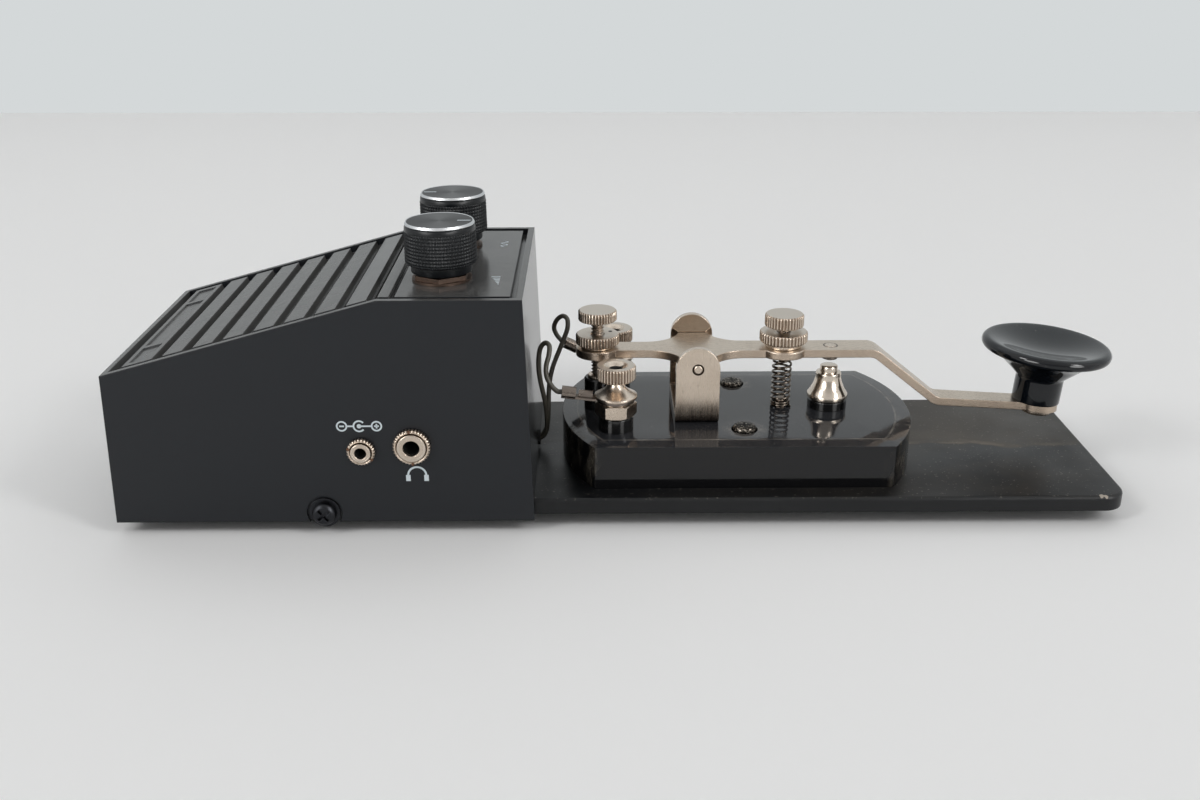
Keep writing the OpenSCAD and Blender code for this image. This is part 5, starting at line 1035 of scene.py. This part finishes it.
# Leads from the sockets, controls, speaker and battery to the board. Each has its colour, its first points, the steps
# before its landing counted from there, the landing and a direction across it.
leads = [
    ("#8a1410", [[56.9, -6, 12], [58.4, -6, 12]], [[-1.8, 0.3, 2.7], [-0.25, 0, 2.4], [0, 0, 1.2]],
     [62.45, -6.6, 10.6], (0, 1, 0)),
    ("#141414", [[56.9, 6, 12], [58.4, 6, 12]], [[-1.8, -0.9, 2.7], [-0.25, -0.1, 2.4], [0, 0, 1.2]],
     [62.45, 8.5, 10.6], (0, 1, 0)),
    ("#9c8a22", [slopePoint(51.255, 4, -12.2), slopePoint(53.255, 4, -12.2)],
     [[-5.1, -0.9, 13.4], [-1.6, 0.1, 5.4], [0, 0, 2.2]], [66.125, 8.5, 10.6], (0, 1, 0)),
    ("#1f3f8a", [slopePoint(51.255, -4, -12.2), slopePoint(53.255, -4, -12.2)],
     [[-6.3, 6, 11.4], [-1.5, 0.8, 5], [0, 0, 2.2]], [68.82, -13.6, 10.6], (0, 1, 0)),
    ("#2b6b34", [[60.5, -13.4, 38.1], [60.5, -13.4, 36], [61.5, -13.4, 29]],
     [[-5, 0.5, 9.4], [-0.6, 0, 4], [0, 0, 2]], [72.25, -13.6, 10.6], (0, 1, 0)),
    ("#7a3a14", [[60.5, 13.4, 38.1], [60.5, 13.4, 36], [61.5, 13.4, 29]],
     [[-4.8, 1, 9.4], [-0.4, 0.1, 3.9], [0, 0, 2]], [70.29, 10, 10.6], (0, 1, 0)),
    ("#8d8d8d", [[63.7, -16.6375, 15.6], [63.7, -15.1375, 15.4]], [[-0.6, -0.3, 3.4], [0, 0, 1.8]],
     [65.39, -13.6, 10.6], (1, 0, 0)),
    ("#8a1410", [[53.1, -19.1475, 15], [53.1, -17.6475, 14.8], [56.5, -16.9075, 15.2]],
     [[-2.2, -0.2, 4], [-0.4, 0, 2.6], [0, 0, 1.2]], [61.96, -13.6, 10.6], (0, 0.3, 1)),
]
for number, (colour, start, steps, landing, reference) in enumerate(leads, 1):
    name = "hookupLead%d" % number
    finishes[name] = plainPlastic(name + "Pvc", colour, 0.35)
    route = start + [[a + b for a, b in zip(step, landing)] for step in steps] + [landing]
    makeCord(name, route, 0.5, 10, name, "hookup_leads", reference)
print("inside of the case dressed")


# Stage and light: a pale table, a pale wall behind it and soft boxes

stageSettings = {"table": "#f3f3f3", "wall": "#d4d8d9", "wallDiffuse": "#d8dadb", "half": 6, "wallTop": 4,
                 "wallFoot": -0.4, "wallLeft": 0.62, "wallRight": 0.43}
boxSettings = {
    "backBox": {"centre": (0.0, 0.40, 0.75), "target": (0.0, 0.0, 0.1), "size": (1.8, 0.6), "level": 0.35},
    "leftBox": {"centre": (-0.85, -0.6, 0.8), "target": (0.0, 0.0, 0.0), "size": (0.26, 0.36), "level": 10.1},
    "rightBox": {"centre": (0.85, -0.6, 0.8), "target": (0.0, 0.0, 0.0), "size": (0.26, 0.36), "level": 10.1},
}
worldSettings = {"light": "#f7f7f6", "level": 0.6, "window": 7.0,
                 "windowWays": ((-0.63, -0.74, 0.24), (0.63, -0.74, 0.24))}


def stageMaterial(name, diffuse, shown=None):
    # takes light and shadow like a matt board, and shows one even colour to the camera and in reflections if given
    material, shader, add, coords = newMaterial(name, Base_Color=diffuse, Roughness=0.9, Specular_IOR_Level=0.2)
    if shown:
        rays = ("Camera", "Glossy", "Transmission")
        camera, glossy, clear = (add("LightPath", out="Is %s Ray" % ray) for ray in rays)
        seen = add("Math", add("Math", camera, glossy, **total), clear, **total)
        glow = add("Emission", Color=shown, Strength=1.0)
        connect(material.node_tree.nodes["Material Output"],
                {"Surface": add("MixShader", seen, shader.outputs[0], glow)})
    return material


def stagePlane(name, corners, material):
    # one flat face through four corners in metres, which belongs to the stage
    mesh = bpy.data.meshes.new(name)
    mesh.from_pydata(corners, [], [[0, 1, 2, 3]])
    mesh.materials.append(material)
    plane = bpy.data.objects.new(name, mesh)
    bpy.context.scene.collection.objects.link(plane)


def softBox(name, s):
    # an area lamp of even brightness, unseen by the camera, that shows in gloss
    data = bpy.data.lights.new(name, "AREA")
    data.shape = "RECTANGLE"
    data.size, data.size_y = s["size"]
    data.energy = s["level"] * math.pi * data.size * data.size_y
    lamp = bpy.data.objects.new(name, data)
    lamp.location = s["centre"]
    lamp.rotation_euler = (Vector(s["target"]) - Vector(s["centre"])).to_track_quat("-Z", "Y").to_euler()
    lamp.visible_camera = False
    bpy.context.scene.collection.objects.link(lamp)


def makeWorld(s):
    # An even pale light. Metal and gloss see a room in it: dim behind the camera, bright to both sides and
    # above, less so straight overhead, with two small windows low in front.
    world = bpy.data.worlds.new("room")
    world.use_nodes = True
    add = partial(addNode, world.node_tree)
    plain = world.node_tree.nodes["Background"]
    connect(plain, {"Color": linear(s["light"]), "Strength": s["level"]})
    way = add("TexCoord", out="Generated")
    x, y, z = (add("SeparateXYZ", way, out=axis) for axis in "XYZ")
    sides = add("MapRange", together(add, x, x), 0.03, 0.45, 0.42, 0.85)
    above = together(add, add("MapRange", z, 0.3, 0.9, 0.0, 0.5), add("MapRange", z, 0.62, 0.95, 1.0, 0.55))
    level = add("Math", add("Math", sides, above, **total), add("MapRange", y, -0.2, 0.6, 0.0, 0.3), **total)
    for toward in s["windowWays"]:
        window = add("MapRange", add("VectorMath", way, toward, operation="DOT_PRODUCT"), 0.972, 0.98, 0.0, s["window"])
        level = add("Math", level, window, operation="ADD")
    room = add("Background", Color=linear(s["light"]), Strength=level)
    seen = add("LightPath", out="Is Glossy Ray")
    connect(world.node_tree.nodes["World Output"], {"Surface": add("MixShader", seen, plain.outputs[0], room)})
    bpy.context.scene.world = world


half, left, right = stageSettings["half"], stageSettings["wallLeft"], stageSettings["wallRight"]
foot, top = stageSettings["wallFoot"], stageSettings["wallTop"]
stagePlane("table", [(-half, -half, 0), (half, -half, 0), (half, right, 0), (-half, left, 0)],
           stageMaterial("matTable", linear(stageSettings["table"])))
stagePlane("wall", [(-half, left, foot), (half, right, foot), (half, right, top), (-half, left, top)],
           stageMaterial("matWall", linear(stageSettings["wallDiffuse"]), linear(stageSettings["wall"])))
for name, settings in boxSettings.items():
    softBox(name, settings)
makeWorld(worldSettings)
bpy.context.scene.view_settings.view_transform = "Standard"
print("stage lit")
